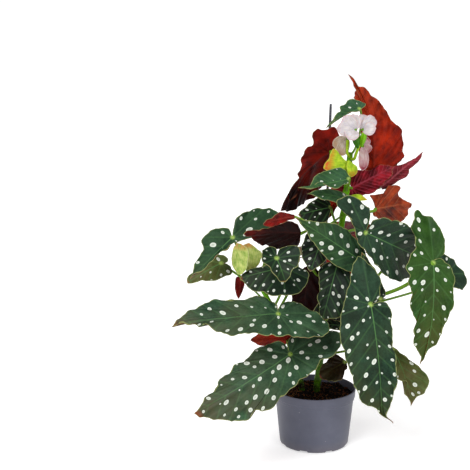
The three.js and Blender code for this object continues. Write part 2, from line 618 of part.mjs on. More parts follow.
const COLOURS = {
  pot: 0x666879,
  soil: 0x2e1c12,
  stake: 0x26262e,
  cane: 0x66942c,
  leaf: 0x30503f,
  red: 0x9a2c18,
  flower: 0xf2e8ea,
  bract: 0xa8c43a,
  withered: 0x5a4022,
};

// ---------- Solids and meshes ----------

const group = new THREE.Group();

function add(name, geometry, colour, roughness = 0.6) {
  const material = new THREE.MeshStandardMaterial({ color: colour, roughness, metalness: 0 });
  const mesh = new THREE.Mesh(geometry, material);
  mesh.name = name;
  group.add(mesh);
}

function toSolid(geometry) {
  const bare = geometry.clone();
  bare.deleteAttribute("normal");
  bare.deleteAttribute("uv");
  const merged = mergeVertices(bare, 1e-4);
  const vertProperties = new Float32Array(merged.attributes.position.array);
  const triVerts = new Uint32Array(merged.index.array);
  return new wasm.Manifold(new wasm.Mesh({ numProp: 3, vertProperties, triVerts }));
}

function toGeometry(solid) {
  const mesh = solid.getMesh();
  const geometry = new THREE.BufferGeometry();
  geometry.setAttribute("position", new THREE.BufferAttribute(new Float32Array(mesh.vertProperties), 3));
  geometry.setIndex(new THREE.BufferAttribute(new Uint32Array(mesh.triVerts), 1));
  geometry.computeVertexNormals();
  return geometry;
}

function lathe(profile, segments) {
  const geometry = new THREE.LatheGeometry(profile.map(([r, z]) => new THREE.Vector2(r, z)), segments);
  return geometry.rotateX(Math.PI / 2);
}

function vector([x, y, z]) {
  return new THREE.Vector3(x, y, z);
}

function tube(curve, radius, sides, steps) {
  const section = new THREE.Shape();
  section.absarc(0, 0, radius, 0, 2 * Math.PI, false);
  return new THREE.ExtrudeGeometry(section, { curveSegments: sides / 2, steps, extrudePath: curve });
}

// ---------- Pot, soil and stake ----------

function potWallRadius(z) {
  const shoulder = POT.height - POT.rimDepth;
  const top = POT.rimRadius - POT.rimOverhang;
  return POT.footRadius + ((top - POT.footRadius) * z) / shoulder;
}

function nurseryPot() {
  const shoulder = POT.height - POT.rimDepth;
  const step = shoulder - POT.stepDepth;
  const inner = (z) => Math.min(potWallRadius(z), POT.rimRadius) - POT.wall;
  const shell = toSolid(
    lathe(
      [
        [0, 0],
        [POT.padRadius, 0],
        [POT.channelInner, POT.channelHeight],
        [POT.channelOuter - 1, POT.channelHeight],
        [POT.channelOuter, 0],
        [POT.footRadius - POT.footRound, 0],
        [potWallRadius(POT.footRound) - 1, 1.2],
        [potWallRadius(POT.footRound), POT.footRound],
        [potWallRadius(step), step],
        [potWallRadius(step) + POT.stepOverhang, step],
        [potWallRadius(shoulder) + POT.stepOverhang, shoulder],
        [POT.rimRadius - 0.6, shoulder],
        [POT.rimRadius, POT.height - 1],
        [POT.rimRadius - 0.8, POT.height],
        [POT.rimRadius - 2, POT.height],
        [inner(shoulder), shoulder],
        [inner(POT.floorTop), POT.floorTop],
        [0, POT.floorTop],
      ],
      40,
    ),
  );
  let solid = shell;
  const ringWidth = POT.footRadius - POT.channelOuter + 4;
  for (let i = 0; i < POT.notches; i += 1) {
    const turn = ((i + 0.5) * 2 * Math.PI) / POT.notches;
    const notch = new THREE.BoxGeometry(ringWidth, POT.notchWidth, POT.notchHeight);
    notch.translate(POT.channelOuter - 1 + ringWidth / 2, 0, POT.notchHeight / 2 - 1.5);
    notch.rotateZ(turn);
    const drain = new THREE.CylinderGeometry(POT.drainRadius, POT.drainRadius, POT.floorTop + 4, 10);
    drain.rotateX(Math.PI / 2);
    drain.translate((POT.channelInner + POT.channelOuter) / 2, 0, POT.floorTop / 2);
    drain.rotateZ(turn);
    solid = solid.subtract(toSolid(notch)).subtract(toSolid(drain));
  }
  return solid;
}

function pottingSoil() {
  const wall = (z) => potWallRadius(z) - POT.wall - GAP;
  const bottom = POT.floorTop + GAP;
  const profile = [
    [0, bottom],
    [wall(bottom), bottom],
    [wall(POT.height - POT.rimDepth), POT.height - POT.rimDepth],
    [wall(POT.height - POT.rimDepth) - SOIL.bevel, SOIL.top],
    [SOIL.shoulderRadius, SOIL.top + SOIL.shoulderRise],
    [0, SOIL.top + SOIL.crown],
  ];
  return toSolid(lathe(profile, 28));
}

function stake(clearance) {
  const path = new THREE.LineCurve3(vector(STAKE.foot), vector(STAKE.top));
  return toSolid(tube(path, STAKE.radius + clearance, STAKE.sides, 1));
}

// ---------- Canes ----------

function caneCurve(cane) {
  return new THREE.CatmullRomCurve3(cane.route.map(vector));
}

function cane(name, clearance) {
  const { radius } = CANES[name];
  return toSolid(tube(caneCurve(CANES[name]), radius + clearance, CANE_DETAIL.sides, CANE_DETAIL.steps));
}

// The point of a cane's middle line at a height.
function caneAt(name, height) {
  const curve = caneCurve(CANES[name]);
  let low = 0;
  let high = 1;
  for (let i = 0; i < 30; i += 1) {
    const middle = (low + high) / 2;
    if (curve.getPoint(middle).z < height) {
      low = middle;
    } else {
      high = middle;
    }
  }
  return curve.getPoint(low);
}

// ---------- Leaves ----------

// Takes a place on the flat blade (along the midrib, across it, raised from it) to its place on the plant.
// The midrib is an arc from the stalk to the tip, the halves rise from it as a shallow V, and a bow moves it
// sideways.
function bladeMap(leaf) {
  const { hand = 1, fold = 0, bow = 0, clasp = 0 } = leaf;
  const at = vector(leaf.at);
  const chord = vector(leaf.tip).sub(at);
  const reach = chord.length();
  const along = chord.clone().normalize();
  const face = vector(leaf.face);
  const up = face.clone().addScaledVector(along, -face.dot(along)).normalize();
  const left = new THREE.Vector3().crossVectors(up, along);
  const bend = THREE.MathUtils.degToRad(leaf.droop);
  const arcRadius = reach / (2 * Math.sin(bend / 2));
  const length = arcRadius * bend;
  const map = (u, v, raised) => {
    const t = u / length;
    const claspHere = v > 0 ? clasp * THREE.MathUtils.smoothstep(t, 0, 0.35) : 0;
    const slope = THREE.MathUtils.degToRad(fold + claspHere);
    const lift = Math.sin(slope) * (Math.hypot(v, BLADE.foldRound) - BLADE.foldRound) + raised;
    const sway = t > 0 ? 4 * bow * t * (1 - t) : 4 * bow * t;
    const across = (v * Math.cos(slope) + sway) * hand;
    const angle = bend / 2 - u / arcRadius;
    const x = arcRadius * (Math.sin(bend / 2) - Math.sin(angle)) - lift * Math.sin(angle);
    const z = arcRadius * (Math.cos(angle) - Math.cos(bend / 2)) + lift * Math.cos(angle);
    return at.clone().addScaledVector(along, x).addScaledVector(up, z).addScaledVector(left, across);
  };
  return { map, length, up, along };
}

function detailOf(leaf) {
  return leaf.width < FINE_WIDTH ? COARSE : FINE;
}

function outlinePoints(leaf, length) {
  const shape = OUTLINES[leaf.outline ?? "wing"];
  const { slim = 1, lean = 0, lobe = 1 } = leaf;
  const across = leaf.width / shape.span;
  const back = lobe / shape.lobe;
  const place = ([u, v]) => {
    const x = u > 0 ? u * length : u * back;
    const y = v * across * (v < 0 && u > 0 ? slim : 1);
    return new THREE.Vector2(x, x < 0 ? y - (lean * x) / lobe : y);
  };
  const { narrow, wide } = detailOf(leaf);
  const first = new THREE.SplineCurve(shape.narrow.map(place)).getSpacedPoints(narrow);
  const second = new THREE.SplineCurve(shape.wide.map(place)).getSpacedPoints(wide);
  return [...first, ...second.slice(1)];
}

// A closed sheet between an upper and a lower skin: rings of the outline about the stalk, open at the notch.
function bladeSolid(leaf) {
  const { map, length } = bladeMap(leaf);
  const outline = outlinePoints(leaf, length);
  const { rings } = detailOf(leaf);
  const half = BLADE.thickness / 2;
  const positions = [];
  const put = (u, v, raised) => {
    positions.push(...map(u, v, raised).toArray());
    return positions.length / 3 - 1;
  };
  const skin = (raised) => {
    const hub = put(0, 0, raised);
    return { hub, rings: rings.map((s) => outline.map((p) => put(p.x * s, p.y * s, raised))) };
  };
  const top = skin(half);
  const bottom = skin(-half);
  const index = [];
  const quad = (a, b, c, d) => index.push(a, b, c, a, c, d);
  const last = outline.length - 1;
  const outer = rings.length - 1;
  for (let i = 0; i < last; i += 1) {
    index.push(top.hub, top.rings[0][i], top.rings[0][i + 1]);
    index.push(bottom.hub, bottom.rings[0][i + 1], bottom.rings[0][i]);
    for (let r = 0; r < outer; r += 1) {
      const [near, far] = [r, r + 1];
      quad(top.rings[near][i], top.rings[far][i], top.rings[far][i + 1], top.rings[near][i + 1]);
      quad(bottom.rings[near][i], bottom.rings[near][i + 1], bottom.rings[far][i + 1], bottom.rings[far][i]);
    }
    quad(top.rings[outer][i], bottom.rings[outer][i], bottom.rings[outer][i + 1], top.rings[outer][i + 1]);
  }
  const spoke = (side, i) => [side.hub, ...side.rings.map((ring) => ring[i])];
  const edges = [
    [spoke(bottom, 0), spoke(top, 0)],
    [spoke(top, last), spoke(bottom, last)],
  ];
  for (const [one, other] of edges) {
    for (let r = 0; r <= outer; r += 1) {
      quad(one[r], one[r + 1], other[r + 1], other[r]);
    }
  }
  if (leaf.hand === -1) {
    index.reverse();
  }
  const geometry = new THREE.BufferGeometry();
  geometry.setAttribute("position", new THREE.BufferAttribute(new Float32Array(positions), 3));
  geometry.setIndex(index);
  return toSolid(geometry);
}

// The leaf stalk leaves the blade on its lower side and bends to its node on the cane.
function stalkSolid(leaf) {
  const { up, along } = bladeMap(leaf);
  const start = vector(leaf.at);
  const node = caneAt(leaf.cane, leaf.node);
  const reach = start.distanceTo(node);
  const leave = start.clone().addScaledVector(up, -0.24 * reach).addScaledVector(along, -0.12 * reach);
  const outward = start.clone().sub(node).setZ(0).normalize();
  const arrive = node.clone().addScaledVector(outward, 0.3 * reach).add(new THREE.Vector3(0, 0, 0.12 * reach));
  const straight = new THREE.CubicBezierCurve3(start, leave, arrive, node);
  const bent = leaf.via && new THREE.CatmullRomCurve3([start, vector(leaf.via), node]);
  return toSolid(tube(bent ?? straight, STALK.radius, STALK.sides, STALK.steps));
}

// ---------- Flowers ----------

// A flower is a knot at its hub with a thin curved tepal out to each tip.
function flowerSolid(flower) {
  const hub = vector(flower.hub);
  const middle = flower.tips.map(vector).reduce((sum, tip) => sum.add(tip), new THREE.Vector3());
  const open = middle.divideScalar(flower.tips.length).sub(hub).normalize();
  const front = new THREE.Vector3(0, -1, 0).addScaledVector(open, 0.4);
  const knot = new THREE.SphereGeometry(2.4, 6, 4).translate(...flower.hub);
  let solid = toSolid(knot);
  for (const tip of flower.tips) {
    const tepal = { at: flower.hub, tip, face: front.toArray(), width: flower.width, droop: 40, outline: "tepal" };
    solid = solid.add(bladeSolid(tepal));
  }
  return solid;
}

function flowerStalkSolid() {
  const [first, ...others] = FLOWER_STALK.branches.map((points) => {
    const curve = new THREE.CatmullRomCurve3(points.map(vector));
    return toSolid(tube(curve, FLOWER_STALK.radius, STALK.sides, STALK.steps));
  });
  return others.reduce((solid, branch) => solid.add(branch), first);
}

// ---------- The plant put together ----------

const canes = { main: cane("main", 0), left: cane("left", 0) };
const clearances = { main: cane("main", GAP), left: cane("left", GAP) };
const stakeClearance = stake(GAP);

add("nursery_pot", toGeometry(nurseryPot()), COLOURS.pot, 0.55);

let soil = pottingSoil().subtract(stakeClearance);
for (const clearance of Object.values(clearances)) {
  soil = soil.subtract(clearance);
}
add("potting_soil", toGeometry(soil), COLOURS.soil, 0.95);
add("support_stake", toGeometry(stake(0)), COLOURS.stake, 0.5);
add("cane_main", toGeometry(canes.main), COLOURS.cane);
add("cane_left", toGeometry(canes.left), COLOURS.cane);

for (const [name, leaf] of Object.entries(LEAVES)) {
  const organ = bladeSolid(leaf).add(stalkSolid(leaf)).subtract(clearances[leaf.cane]);
  add(name, toGeometry(organ), COLOURS[leaf.tint ?? "leaf"], 0.45);
}

for (const [name, bract] of Object.entries(BRACTS)) {
  const sheet = bladeSolid(bract);
  add(name, toGeometry(sheet.subtract(clearances.main).subtract(clearances.left)), COLOURS.bract);
}

for (const [name, flower] of Object.entries(FLOWERS)) {
  add(name, toGeometry(flowerSolid(flower)), COLOURS.flower, 0.4);
}
add("flower_stalk", toGeometry(flowerStalkSolid().subtract(clearances.main)), COLOURS.cane);

export default group;
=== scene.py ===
# %% [markdown]
# # A potted polka dot begonia
# This file builds the looks of a plant whose solid model is already packed: a pot, soil, two canes,
# spotted leaves and a few flowers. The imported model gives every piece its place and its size. Here each
# piece gets its real surface: thin curved blades instead of plates, and finishes made from nodes.
#
# The solid model loads first. It stays as it is, and each new piece stands in for one of its nodes.

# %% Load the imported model
import math
import bpy
import numpy as np
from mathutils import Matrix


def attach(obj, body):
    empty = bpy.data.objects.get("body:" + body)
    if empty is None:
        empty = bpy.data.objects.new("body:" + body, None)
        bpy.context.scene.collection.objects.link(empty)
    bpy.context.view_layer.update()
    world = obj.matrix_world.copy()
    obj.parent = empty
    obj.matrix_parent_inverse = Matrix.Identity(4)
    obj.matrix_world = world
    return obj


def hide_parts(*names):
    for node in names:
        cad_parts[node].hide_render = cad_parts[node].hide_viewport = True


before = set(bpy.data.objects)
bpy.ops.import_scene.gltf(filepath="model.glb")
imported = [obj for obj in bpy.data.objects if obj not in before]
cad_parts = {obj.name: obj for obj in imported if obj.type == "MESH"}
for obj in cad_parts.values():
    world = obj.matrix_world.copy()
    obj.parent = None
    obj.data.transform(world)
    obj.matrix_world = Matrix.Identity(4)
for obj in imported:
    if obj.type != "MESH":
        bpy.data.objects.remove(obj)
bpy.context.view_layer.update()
print("nodes to cover:", len(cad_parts))

# %% [markdown]
# ## The camera
# The picture of the plant was taken from a little above, with a long lens. The camera looks along +Y and
# 10 degrees down. Its distance and its lens follow from two things that can be measured: the pot's base is
# 441 pixels down and 313.8 across in a frame of 470, and the rim is 81.5 pixels wide.

# %% Place the camera
FRAME_PIXELS = 470
FOCAL_PIXELS = 1019
BASE_PIXEL = (313.8, 441.0)
PITCH = math.radians(10)
BASE_DISTANCE = 1.51
SENSOR_MM = 36


def camera_place():
    """Where the camera stands, so that the middle of the pot's base falls on its pixel."""
    right = (BASE_PIXEL[0] - FRAME_PIXELS / 2) / FOCAL_PIXELS * BASE_DISTANCE
    up = (FRAME_PIXELS / 2 - BASE_PIXEL[1]) / FOCAL_PIXELS * BASE_DISTANCE
    ahead = BASE_DISTANCE * math.cos(PITCH) + up * math.sin(PITCH)
    rise = up * math.cos(PITCH) - BASE_DISTANCE * math.sin(PITCH)
    return (-right, -ahead, -rise)


camera = bpy.data.objects.new("camera", bpy.data.cameras.new("camera"))
camera.data.sensor_width = SENSOR_MM
camera.data.lens = FOCAL_PIXELS / FRAME_PIXELS * SENSOR_MM
camera.location = camera_place()
camera.rotation_euler = (math.pi / 2 - PITCH, 0, 0)
bpy.context.scene.collection.objects.link(camera)
bpy.context.scene.camera = camera
print("camera at", [round(c, 3) for c in camera.location], "lens", round(camera.data.lens, 1))

# %% [markdown]
# ## Colours and nodes
# A colour picked from a picture is an sRGB value, but shaders work with linear light, so one function
# turns hex values to linear ones. One more adds a node, gives it its settings and links it. The short
# ones after it are for what the materials use most: a mix of two colours, a product, a ramp, a noise and
# a cell texture.

# %% Colour and node helpers
def colour(hex_value):
    """A linear RGBA colour from an sRGB hex value such as 2f4f3f."""
    channels = np.array([int(hex_value[i : i + 2], 16) for i in (0, 2, 4)]) / 255
    linear = np.where(channels <= 0.04045, channels / 12.92, ((channels + 0.055) / 1.055) ** 2.4)
    return (*linear, 1.0)


def in_use(sockets, name):
    """The socket in use under a name or a number. A node can hide others of the same name."""
    shown = [socket for socket in sockets if socket.enabled]
    return shown[name] if isinstance(name, int) else next(s for s in shown if s.name == name)


def add(tree, kind, inputs=None, **settings):
    """Adds a node. An input is a number, a colour, an output, or a node whose first output feeds it."""
    node = tree.nodes.new("ShaderNode" + kind)
    for name, value in settings.items():
        setattr(node, name, value)
    for name, value in (inputs or {}).items():
        socket = in_use(node.inputs, name)
        if isinstance(value, bpy.types.Node):
            value = in_use(value.outputs, 0)
        if isinstance(value, bpy.types.NodeSocket):
            tree.links.new(value, socket)
        else:
            socket.default_value = value
    return node


def new_material(name):
    """An empty node material and its tree."""
    made = bpy.data.materials.new(name)
    made.use_nodes = True
    made.node_tree.nodes.clear()
    return made, made.node_tree


def finish_material(tree, inputs):
    """Adds the shader with its inputs and links it to the material's output."""
    add(tree, "OutputMaterial", {"Surface": add(tree, "BsdfPrincipled", inputs)})


MM = 0.001


def blend(tree, share, base, over):
    """One colour laid over another by a share."""
    return add(tree, "Mix", {"Factor": share, "A": base, "B": over}, data_type="RGBA")


def times(tree, value, factor):
    """A value multiplied by another."""
    return add(tree, "Math", {0: value, 1: factor}, operation="MULTIPLY")


def ramp(tree, value, start=0.0, end=1.0, low=0.0, high=1.0):
    """Turns a value that runs from start to end into one that runs from low to high."""
    steps = {"From Min": start, "From Max": end, "To Min": low, "To Max": high}
    return add(tree, "MapRange", {"Value": value, **steps})


def noise(tree, place, size_mm, detail, rough=0.5):
    """Soft noise whose largest patches have a size in millimetres."""
    scale = {"Scale": 1 / (size_mm * MM), "Detail": detail, "Roughness": rough}
    return add(tree, "TexNoise", {"Vector": place, **scale})


def flat_cells(tree, place, size_mm, uneven):
    """A cell texture in a plane, with cells of a size in millimetres."""
    scale = {"Scale": 1 / (size_mm * MM), "Randomness": uneven}
    return add(tree, "TexVoronoi", {"Vector": place, **scale}, voronoi_dimensions="2D")


print("one pot rim of 120 mm is", 120 * MM, "m")

# %% [markdown]
# ## Floor and light
# The plant stands in a white studio. A wide floor of matt white card and a white sky light it from all
# sides, a broad sun from the upper left gives the leaves their soft shade, and a soft lamp at the front
# right opens the shadows a little. The view transform is the plain one, because a white sweep has to come
# out white.

# %% Build the studio
bpy.context.scene.view_settings.view_transform = "Standard"
FLOOR_RADIUS = 12
FLOOR_SIDES = 64


def build_floor():
    """A flat disc of card under the pot."""
    turns = np.linspace(0, 2 * math.pi, FLOOR_SIDES, endpoint=False)
    ring = [(FLOOR_RADIUS * math.cos(a), FLOOR_RADIUS * math.sin(a), -0.0002) for a in turns]
    mesh = bpy.data.meshes.new("studio_floor")
    mesh.from_pydata(ring, [], [list(range(FLOOR_SIDES))])
    floor = bpy.data.objects.new("studio_floor", mesh)
    bpy.context.scene.collection.objects.link(floor)
    card, tree = new_material("matt white card")
    grain = add(tree, "TexNoise", {"Scale": 900.0, "Detail": 3.0})
    bump = add(tree, "Bump", {"Height": grain, "Strength": 0.05, "Distance": 0.0002})
    surface = {"Base Color": colour("e8e8e8"), "Roughness": 0.9, "Normal": bump}
    glow = {"Emission Color": colour("ffffff"), "Emission Strength": 0.45}
    finish_material(tree, {**surface, **glow})
    mesh.materials.append(card)


def add_light(name, kind, energy, place, target, **settings):
    """A light that shines from one place towards another."""
    lamp = bpy.data.lights.new(name, kind)
    lamp.energy = energy
    for setting, value in settings.items():
        setattr(lamp, setting, value)
    light = bpy.data.objects.new(name, lamp)
    light.location = place
    way = np.array(target, float) - np.array(place, float)
    down = math.acos(-way[2] / np.linalg.norm(way))
    light.rotation_euler = (down, 0, math.atan2(way[1], way[0]) - math.pi / 2)
    bpy.context.scene.collection.objects.link(light)


def build_sky():
    """A white sky. As a light it is about half as bright as it looks."""
    world = bpy.data.worlds.new("studio")
    world.use_nodes = True
    tree = world.node_tree
    tree.nodes.clear()
    seen = add(tree, "LightPath").outputs["Is Camera Ray"]
    strength = ramp(tree, seen, low=0.5, high=1.05)
    sky = add(tree, "Background", {"Color": colour("ffffff"), "Strength": strength})
    add(tree, "OutputWorld", {"Surface": sky})
    bpy.context.scene.world = world


build_floor()
build_sky()
add_light("broad sun", "SUN", 2.6, (-0.9, -1.3, 2.0), (0, 0, 0.2), angle=math.radians(35))
add_light("front softbox", "AREA", 14, (0.9, -1.6, 0.9), (0, 0, 0.25), shape="DISK", size=1.2)

# %% [markdown]
# ## Curves, tubes and meshes
# Stems and stalks are round and bend smoothly through a few chosen points. A curve object could do this,
# but a mesh tube lets the radius swell at the nodes and the caps stay closed. The curve is a spline that
# passes through its points without loops, also where they are unevenly far apart.

# %% Curve and mesh helpers
def unit(vector):
    """The same direction with a length of one."""
    return vector / np.linalg.norm(vector)


def smoothstep(low, high, value):
    """Eases from 0 at low to 1 at high."""
    t = np.clip((value - low) / (high - low), 0, 1)
    return t * t * (3 - 2 * t)


def spline(points, steps):
    """A smooth spline through points, with some steps for each stretch."""
    points = np.array(points, float)
    ends = (2 * points[0] - points[1], 2 * points[-1] - points[-2])
    row = np.vstack([ends[0], points, ends[1]])
    t = np.linspace(0, 1, steps, endpoint=False)[:, None]
    made = []
    for p0, p1, p2, p3 in zip(row, row[1:], row[2:], row[3:]):
        gaps = [max(np.linalg.norm(b - a) ** 0.5, 1e-6) for a, b in ((p0, p1), (p1, p2), (p2, p3))]
        leave = ((p1 - p0) / gaps[0] - (p2 - p0) / (gaps[0] + gaps[1]) + (p2 - p1) / gaps[1]) * gaps[1]
        arrive = ((p2 - p1) / gaps[1] - (p3 - p1) / (gaps[1] + gaps[2]) + (p3 - p2) / gaps[2]) * gaps[1]
        cubic = 2 * p1 - 2 * p2 + leave + arrive
        square = -3 * p1 + 3 * p2 - 2 * leave - arrive
        made.append(p1 + t * leave + t**2 * square + t**3 * cubic)
    return np.vstack([*made, points[-1:]])


def run_along(line):
    """How far along a line each of its points is."""
    return np.concatenate([[0], np.cumsum(np.linalg.norm(np.diff(line, axis=0), axis=1))])


def even(line, count):
    """The same line with its points spaced evenly."""
    run = run_along(line)
    wanted = np.linspace(0, run[-1], count)
    return np.stack([np.interp(wanted, run, line[:, k]) for k in range(line.shape[1])], axis=1)


def tube(line, radii, sides=14):
    """A closed round tube along a line. Gives its corners, its faces and a place along and round it."""
    ways = np.gradient(line, axis=0)
    ways = ways / np.linalg.norm(ways, axis=1)[:, None]
    side = unit(np.cross(ways[0], (0.3, 0.9, 0.2)))
    turns = np.linspace(0, 2 * math.pi, sides, endpoint=False)
    run = run_along(line)
    corners, places = [], []
    for point, way, radius, reach in zip(line, ways, radii, run):
        side = unit(side - way * np.dot(side, way))
        other = np.cross(way, side)
        ring = point + radius * (np.cos(turns)[:, None] * side + np.sin(turns)[:, None] * other)
        corners.append(ring)
        places.append(np.stack([np.full(sides, reach), turns * radius], axis=1))
    faces = []
    for row in range(len(line) - 1):
        for k in range(sides):
            near, far = row * sides + k, row * sides + (k + 1) % sides
            faces.append((near, far, far + sides, near + sides))
    last = (len(line) - 1) * sides
    faces.append(tuple(range(sides - 1, -1, -1)))
    faces.append(tuple(range(last, last + sides)))
    return np.vstack(corners), faces, np.vstack(places)


def build(name, node, slot, corners, faces, materials, kinds=None, maps=None):
    """Makes a smooth piece from corners in millimetres and lets it stand in for a node of the model."""
    mesh = bpy.data.meshes.new(name)
    mesh.from_pydata((np.asarray(corners) * MM).tolist(), [], faces)
    for material in materials:
        mesh.materials.append(material)
    if kinds is not None:
        mesh.polygons.foreach_set("material_index", np.asarray(kinds, dtype=np.int32))
    mesh.polygons.foreach_set("use_smooth", np.ones(len(mesh.polygons), dtype=bool))
    corner_of = np.empty(len(mesh.loops), dtype=np.int32)
    mesh.loops.foreach_get("vertex_index", corner_of)
    for map_name, values in (maps or {}).items():
        layer = mesh.uv_layers.new(name=map_name)
        layer.data.foreach_set("uv", np.asarray(values, dtype=np.float32)[corner_of].ravel())
    mesh.update()
    piece = bpy.data.objects.new(name, mesh)
    bpy.context.scene.collection.objects.link(piece)
    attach(piece, "root")
    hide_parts(node)
    return piece


def join(parts):
    """Joins meshes that are given as corners, faces, kinds and places into one."""
    corners, faces, kinds, places, start = [], [], [], [], 0
    for part_corners, part_faces, kind, part_places in parts:
        corners.append(part_corners)
        faces += [tuple(i + start for i in face) for face in part_faces]
        kinds += [kind] * len(part_faces) if isinstance(kind, int) else list(kind)
        places.append(part_places)
        start += len(part_corners)
    return np.vstack(corners), faces, kinds, np.vstack(places)


quarter = spline([(0, 0, 0), (30, 0, 10), (60, 0, 40)], 10)
print("a spline of", len(quarter), "points, evened to", len(even(quarter, 30)))

# %% [markdown]
# ## The nursery pot
# The pot is polypropylene, moulded as one thin shell. It has a deep rim band, a small step under it, and
# eight notches in its foot so that water can drain. A lathe with many columns makes the round shell with
# its soft moulded edges, and the notches come from lifting the foot at eight places. A boolean would also
# cut them, but leaves ragged shading on such a thin edge.

# %% Pot sizes in millimetres
POT = {
    "rim_radius": 60, "height": 84, "rim_depth": 12, "rim_overhang": 2.5, "step_depth": 4,
    "step_overhang": 1, "foot_radius": 50, "foot_round": 4, "wall": 1.6, "floor_top": 6, "pad_radius": 28,
    "channel_inner": 31, "channel_outer": 40, "channel_height": 3, "notches": 8, "notch_width": 12,
}
POT_COLUMNS = 384


def pot_radius(z):
    """The outer radius of the tapered wall at a height."""
    shoulder = POT["height"] - POT["rim_depth"]
    top = POT["rim_radius"] - POT["rim_overhang"]
    return POT["foot_radius"] + (top - POT["foot_radius"]) * z / shoulder


def rounded(points, radius, steps=4):
    """A profile whose inner corners are rounded by a radius."""
    points = np.array(points, float)
    made = [points[0]]
    for before, corner, after in zip(points, points[1:], points[2:]):
        cut = min(radius, np.linalg.norm(corner - before) * 0.45, np.linalg.norm(after - corner) * 0.45)
        start = corner + unit(before - corner) * cut
        end = corner + unit(after - corner) * cut
        t = np.linspace(0, 1, steps)[:, None]
        made += list((1 - t) ** 2 * start + 2 * t * (1 - t) * corner + t**2 * end)
    return np.array([*made, points[-1]])


def pot_profile():
    """Radius and height round the shell, from the middle of its underside to the middle of its floor."""
    shoulder = POT["height"] - POT["rim_depth"]
    step = shoulder - POT["step_depth"]
    lip = POT["rim_radius"]
    return rounded(
        [
            (0.01, 0),
            (POT["pad_radius"], 0),
            (POT["channel_inner"], POT["channel_height"]),
            (POT["channel_outer"] - 1, POT["channel_height"]),
            (POT["channel_outer"], 0),
            (POT["foot_radius"] - POT["foot_round"], 0),
            (pot_radius(POT["foot_round"]) - 1, 1.2),
            (pot_radius(POT["foot_round"]), POT["foot_round"]),
            (pot_radius(30), 30),
            (pot_radius(step), step),
            (pot_radius(step) + POT["step_overhang"], step + 0.4),
            (pot_radius(shoulder) + POT["step_overhang"], shoulder),
            (lip - 0.8, shoulder + 0.4),
            (lip - 0.1, POT["height"] - 2.2),
            (lip, POT["height"]),
            (lip - 2, POT["height"] - 0.2),
            (pot_radius(shoulder) - POT["wall"], shoulder),
            (pot_radius(30) - POT["wall"], 30),
            (pot_radius(POT["floor_top"]) - POT["wall"], POT["floor_top"]),
            (0.01, POT["floor_top"]),
        ],
        radius=0.9,
    )


def lathe(profile, columns):
    """Turns a profile round the upright axis. Gives the corners and the faces."""
    turns = np.linspace(0, 2 * math.pi, columns, endpoint=False)
    radius, height = profile[:, 0], profile[:, 1]
    x = np.outer(radius, np.cos(turns))
    y = np.outer(radius, np.sin(turns))
    z = np.repeat(height[:, None], columns, axis=1)
    corners = np.stack([x, y, z], axis=-1).reshape(-1, 3)
    faces = []
    for row in range(len(profile) - 1):
        for k in range(columns):
            near, far = row * columns + k, row * columns + (k + 1) % columns
            faces.append((near, far, far + columns, near + columns))
    faces.append(tuple(range(columns - 1, -1, -1)))
    last = (len(profile) - 1) * columns
    faces.append(tuple(range(last, last + columns)))
    return corners, faces


def pot_shell():
    """The pot's corners and faces, with the foot lifted at the notches."""
    corners, faces = lathe(pot_profile(), POT_COLUMNS)
    radius = np.hypot(corners[:, 0], corners[:, 1])
    pitch = 2 * math.pi / POT["notches"]
    turn = np.arctan2(corners[:, 1], corners[:, 0]) % pitch - pitch / 2
    across = np.abs(turn) * radius
    lift = smoothstep(POT["notch_width"] / 2 + 0.5, POT["notch_width"] / 2 - 0.3, across)
    in_foot = (radius > POT["channel_outer"] - 1.5) & (corners[:, 2] < POT["channel_height"])
    raised = np.maximum(corners[:, 2], POT["channel_height"] * lift)
    corners[:, 2] = np.where(in_foot, raised, corners[:, 2])
    return corners, faces


print("pot profile points:", len(pot_profile()))

# %% [markdown]
# ### Polypropylene
# Moulded polypropylene has a satin skin: broad soft highlights, no sparkle, and a faint grain from the
# mould. Handling leaves it slightly cloudy, and watering leaves dry pale specks of lime and a little soil
# dust at the foot. The clouding is noise of about 40 mm, the specks are about 1 mm.

# %% Moulded polypropylene
def polypropylene():
    """Slate grey nursery pot plastic: satin, a little clouded, with lime specks."""
    made, tree = new_material("moulded slate polypropylene")
    place = add(tree, "TexCoord").outputs["Object"]
    cloud = noise(tree, place, 40, 4.0, 0.6)
    tone = ramp(tree, cloud, 0.3, 0.7)
    body = blend(tree, tone, colour("474957"), colour("535563"))
    specks = add(tree, "TexVoronoi", {"Vector": place, "Scale": 160.0, "Randomness": 1.0})
    speck = ramp(tree, specks.outputs["Distance"], 0.16, 0.08)
    rare = add(tree, "Math", {0: specks.outputs["Color"], 1: 0.86}, operation="GREATER_THAN")
    lime = times(tree, speck, rare)
    lime = times(tree, lime, 0.35)
    skin = blend(tree, lime, body, colour("a9a8ae"))
    height = add(tree, "SeparateXYZ", {"Vector": place})
    dust = ramp(tree, height.outputs["Z"], 0.016, 0.0, high=0.45)
    dusty = times(tree, dust, cloud)
    skin = blend(tree, dusty, skin, colour("7a6f68"))
    rough = ramp(tree, cloud, low=0.36, high=0.52)
    grain = add(tree, "TexNoise", {"Vector": place, "Scale": 1400.0, "Detail": 2.0})
    bump = add(tree, "Bump", {"Height": grain, "Strength": 0.12, "Distance": 0.0002})
    finish_material(
        tree,
        {
            "Base Color": skin,
            "Roughness": rough,
            "Normal": bump,
            "IOR": 1.49,
            "Specular IOR Level": 0.3,
        },
    )
    return made


pot = build("pot_shell", "nursery_pot", "pot_plastic", *pot_shell(), [polypropylene()])
print("pot faces:", len(pot.data.polygons))

# %% [markdown]
# ## The potting mix
# Potting mix is peat with bark chips and coir. It fills the pot to just under the rim. Its body is one
# closed lump with an uneven top, and more than a thousand small crumbs, chips and fibres lie on it,
# because a bump alone would look flat next to the rim. A seeded random source scatters them, so each run
# gives the same soil.

